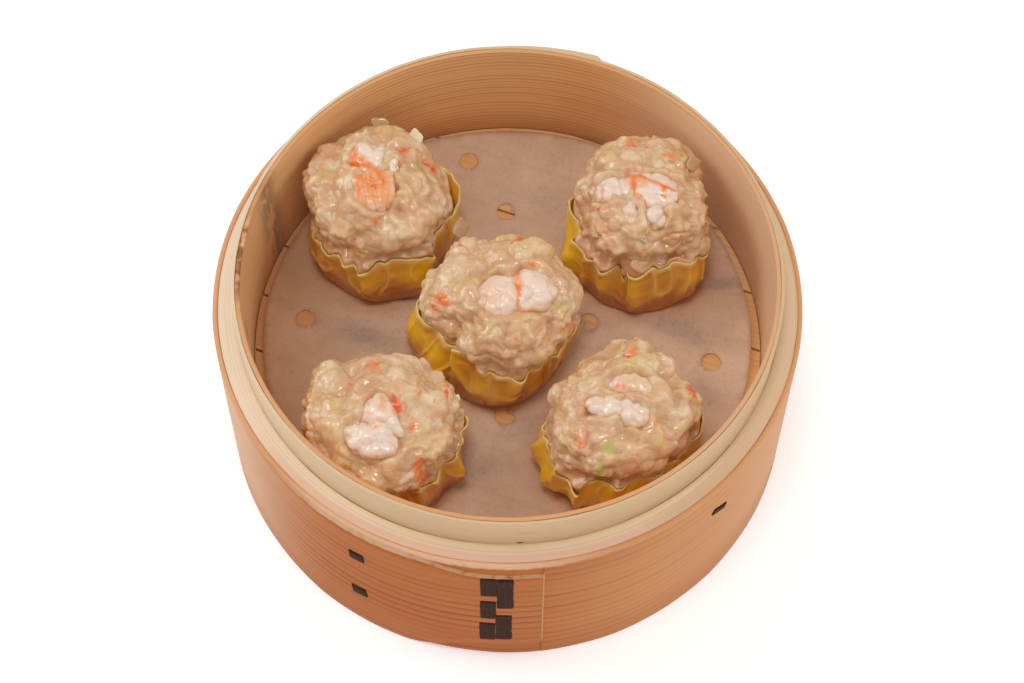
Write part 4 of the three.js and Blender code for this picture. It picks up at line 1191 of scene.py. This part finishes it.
def makePrawn(name, one, look, finish):
    # a piece whose outline goes from round to square by (|cos|^k + |sin|^k)^(-1/k), which the arms
    # pull out or in, ridged across or folded in curls, and softly lumpy
    seed = sum(map(ord, name))
    angle = np.linspace(0, 2 * math.pi, 128, endpoint=False)[None, :]
    rise = np.radians(np.linspace(-74, 88, 64))[:, None]
    power, ridges = look["square"], look.get("ridges", 0)
    corner = (np.abs(np.cos(angle)) ** power + np.abs(np.sin(angle)) ** power) ** (-1 / power)
    ridge = 1 + 0.05 * (ridges > 0) * np.cos(math.pi * ridges * np.cos(angle))
    out = np.cos(rise) ** 0.9 * (1 + hills(angle, look.get("arms", []))) * ridge * corner
    half = np.array(look["size"]) / 2
    local = half * joined(out * np.cos(angle), out * np.sin(angle), np.sin(rise) * ridge)
    knobs, _ = chunks(local + 0.6 * softNoise(local, 2.0, seed + 4)[..., None], 3.4, seed, 9)
    swell = 0.3 * softNoise(local, 3.6, seed + 1) + 0.45 - 2.2 * knobs
    swell = swell + 0.1 * softNoise(local, 0.9, seed + 3)
    if ridges:
        wave = local[..., 0] + 0.5 * softNoise(local, 3.0, seed)
        swell = swell - 0.4 * bell(np.sin(wave * math.pi / 3.1) / 0.28)
    if "folds" in look:
        # curled folds lie round a centre, a groove each time the distance passes the spacing
        foldX, foldY, spacing = look["folds"]
        ringed = np.hypot(local[..., 0] - foldX, local[..., 1] - foldY)
        ringed = (ringed + 0.5 * softNoise(local, 3.0, seed + 6)) / spacing
        grooved = smooth(ringed, 0.5, 0.8) * (1 - smooth(ringed, 3.2, 3.8))
        swell = swell - 0.4 * bell(np.sin(ringed * math.pi) / 0.5) * grooved
    direction = local / np.maximum(np.linalg.norm(local, axis=-1, keepdims=True), 1e-6)
    moved = local + direction * swell[..., None]
    x, y = turned(moved[..., 0], moved[..., 1], look["turn"])
    centre = [one["centre"][k] + one["lean"][k] + look["at"][k] for k in (0, 1)]
    top = dumpling["floor"] + dumpling["height"] + look["rise"]
    rows = joined(x + centre[0], y + centre[1], moved[..., 2] + top - half[2])
    stray = 0.5 * strayNoise(local, 1.8, seed + 9, 2)
    streaks = 0.85 + 0.3 * softNoise(local * [1.6, 0.6, 0.6], 1.0, seed + 12)
    strokes = [(tone, strokeAt(x + stray[..., 0], y + stray[..., 1], stroke) * strength * streaks)
               for tone, strength, *stroke in look.get("strokes", [])]
    tint = coloured(
        rows, "prawn",
        ("prawnPink", 0.3 + 0.5 * softNoise(local, 3.0, seed + 5)),
        ("meatPink", smooth(-moved[..., 2], 0.6 - half[2], 1.6 - half[2] / 2) * 0.75),
        *strokes)
    makeMorsel(name, rows, tint, finish, (name,))


# Flakes of onion that stick out of the tops: place, length, width, turn and tilt in degrees, tone.
flakes = [((-13.6, 25.3, 51.5), 5.6, 4.2, 62, 40, "chip"),
          ((-54.6, 31.6, 59.5), 5.4, 3.6, 100, 60, "chipPink"),
          ((-36.4, 53.6, 61.5), 4.6, 4.2, 10, 35, "chip"),
          ((-25.6, 47.0, 65.5), 4.4, 3.2, -50, 50, "pale"),
          ((10.6, -15.6, 57.6), 4.6, 2.8, -30, 20, "pale"),
          ((-48.4, -28.0, 63.4), 4.4, 3.6, 40, 30, "yellow"),
          ((51.4, 39.4, 64.0), 4.6, 3.4, 60, 35, "chip"),
          ((-13.6, -33.6, 62.0), 2.4, 2.0, 30, 30, "pale"),
          ((-2.0, 2.8, 68.2), 3.4, 2.6, 20, 14, "yellow"), ((36.6, 14.6, 66.4), 4.2, 3.4, 70, 12, "chip")]


def makeFlake(index, finish):
    # a thin plate with a squarish uneven outline, bent as the square of its length
    at, length, width, turn, tilt, tone = flakes[index]
    angle = np.linspace(0, 2 * math.pi, 48, endpoint=False)[None, :]
    rise = np.radians(np.linspace(-86, 86, 24))[:, None]
    corner = (np.cos(angle) ** 4 + np.sin(angle) ** 4) ** -0.25
    uneven = 1 + 0.18 * softNoise(joined(np.cos(angle), np.sin(angle), 0), 0.7, index)
    out = np.cos(rise) ** 0.5 * corner * uneven
    along = length / 2 * out * np.cos(angle)
    across = width / 2 * out * np.sin(angle)
    flat, height = turned(across, 0.35 * np.sin(rise) + 0.05 * along ** 2, tilt)
    rows = joined(*turned(along, flat, turn), height) + at
    makeMorsel(f"onion_flake_{index + 1}", rows, coloured(rows, tone), finish, ())


# Roughness, subsurface weight and reach in millimetres of red, green and blue, coat and its roughness,
# then the relief's grain and depth, and how mottled.
foodLooks = {
    "doughWrapper": (0.36, 0.3, (1.2, 0.9, 0.4), 0.25, 0.15, 0.8, 0.1, 0.2),
    "mincedFilling": (0.45, 0.45, (2.4, 1.4, 1.0), 0.8, 0.08, 0.55, 0.26, 0.4),
    "cookedPrawn": (0.36, 0.4, (1.8, 1.2, 0.9), 0.6, 0.1, 0.6, 0.12, 0.15),
}


def foodFinish(name):
    # the tint of the points, broken up finely, under a wet uneven gloss
    rough, weight, reach, coat, coatRough, grainSize, relief, mottle = foodLooks[name]
    f = Finish(name, {"Roughness": rough, "Subsurface Weight": weight, "Subsurface Scale": 1.0,
                      "Subsurface Radius": [r * mm for r in reach], "Coat Weight": coat,
                      "Coat Roughness": coatRough})
    place = f.place()
    tint = f.field("tint")
    fine = f.noise(place, 1 / (grainSize * mm), 3, 0.6)
    patch = f.noise(place, 260.0, 2, 0.5)
    darker = f.mix(1.0, tint, (0.82, 0.72, 0.62, 1), "MULTIPLY")
    tone = f.mix(mottle, tint, f.mix(f.step(fine, 0.35, 0.7), darker, tint))
    f.wear(tone, patch * 0.35 + rough - 0.15, fine * 0.7 + patch * 0.3, relief * mm, 0.6)
    return f.material


def makeFood():
    dough, mince, prawn = map(foodFinish, foodLooks)
    for index, one in enumerate(siuMai, 1):
        makeWrapper(index, one, dough)
        makeFilling(index, one, mince)
    for index, (one, looks) in enumerate(zip(siuMai, prawns), 1):
        for count, look in enumerate(looks, 1):
            makePrawn(f"siu_mai_{index}_prawn_{count}", one, look, prawn)
    for index in range(len(flakes)):
        makeFlake(index, mince)


# The floor's colour, how much it glows, and the light from all round.
stage = {"floor": (252, 252, 252), "glow": 0.34, "world": 0.36}

# Lights: power, place and size, all aimed at the basket.
lamps = {"left": (2.3, (-0.70, 0.22, 0.62), 0.45), "right": (1.75, (0.72, 0.18, 0.60), 0.6),
         "top": (2.1, (-0.05, -0.12, 0.95), 0.22), "front": (1.0, (0.28, -0.86, 0.44), 0.5)}


def makeLight(name, power, at, size):
    data = bpy.data.lights.new(name, "AREA")
    data.energy = power
    data.size = size
    light = bpy.data.objects.new(name, data)
    bpy.context.collection.objects.link(light)
    light.location = at
    light.rotation_euler = (Vector((0, 0, 0.03)) - Vector(at)).to_track_quat("-Z", "Y").to_euler()


def makeStage():
    half = 4.0
    mesh = bpy.data.meshes.new("paleFloor")
    corners = [(-half, -half, 0), (half, -half, 0), (half, half, 0), (-half, half, 0)]
    mesh.from_pydata(corners, [], [(0, 1, 2, 3)])
    f = Finish("paleFloor", {"Roughness": 0.9, "Specular IOR Level": 0.1, "Emission Color": (1, 1, 1, 1),
                             "Emission Strength": stage["glow"]})
    f.wear(f.mix(f.noise(f.place(), 3.0, 1), rgba(stage["floor"]), rgba((244, 244, 244))))
    mesh.materials.append(f.material)
    floor = bpy.data.objects.new("paleFloor", mesh)
    bpy.context.collection.objects.link(floor)
    world = bpy.data.worlds.new("softStudio")
    bpy.context.scene.world = world
    world.use_nodes = True
    back = next(n for n in world.node_tree.nodes if n.type == "BACKGROUND")
    back.inputs["Color"].default_value = (1, 1, 1, 1)
    back.inputs["Strength"].default_value = stage["world"]
    for name, (power, at, size) in lamps.items():
        makeLight(name, power, at, size)
    bpy.context.scene.view_settings.view_transform = "Standard"


# The camera looks down from the front; distances are metres and angles degrees.
view = {"elevation": 61.82, "roll": 0.26, "distance": 0.5783, "target": (-0.0001, 0, 0.02667), "lens": 71.05,
        "shift": (0.0046, 0.0086)}


def makeCamera():
    data = bpy.data.cameras.new("camera")
    data.lens = view["lens"]
    data.sensor_width = 36
    data.shift_x, data.shift_y = view["shift"]
    data.clip_start = 0.01
    camera = bpy.data.objects.new("camera", data)
    bpy.context.collection.objects.link(camera)
    e = math.radians(view["elevation"])
    back = Vector((0, -math.cos(e), math.sin(e)))
    turn = (-back).to_track_quat("-Z", "Y").to_matrix() @ Matrix.Rotation(math.radians(view["roll"]), 3, "Z")
    camera.matrix_world = Matrix.Translation(Vector(view["target"]) + back * view["distance"]) @ turn.to_4x4()
    bpy.context.scene.camera = camera


makeCamera()
makeStage()
print("stage set")
makeHoops()
barkLook = barkFinish()
for stitchName in stitches:
    makeStitch(stitchName, barkLook)
makeFloor()
makePaper()
print("basket made")
makeFood()
print("siu mai made")
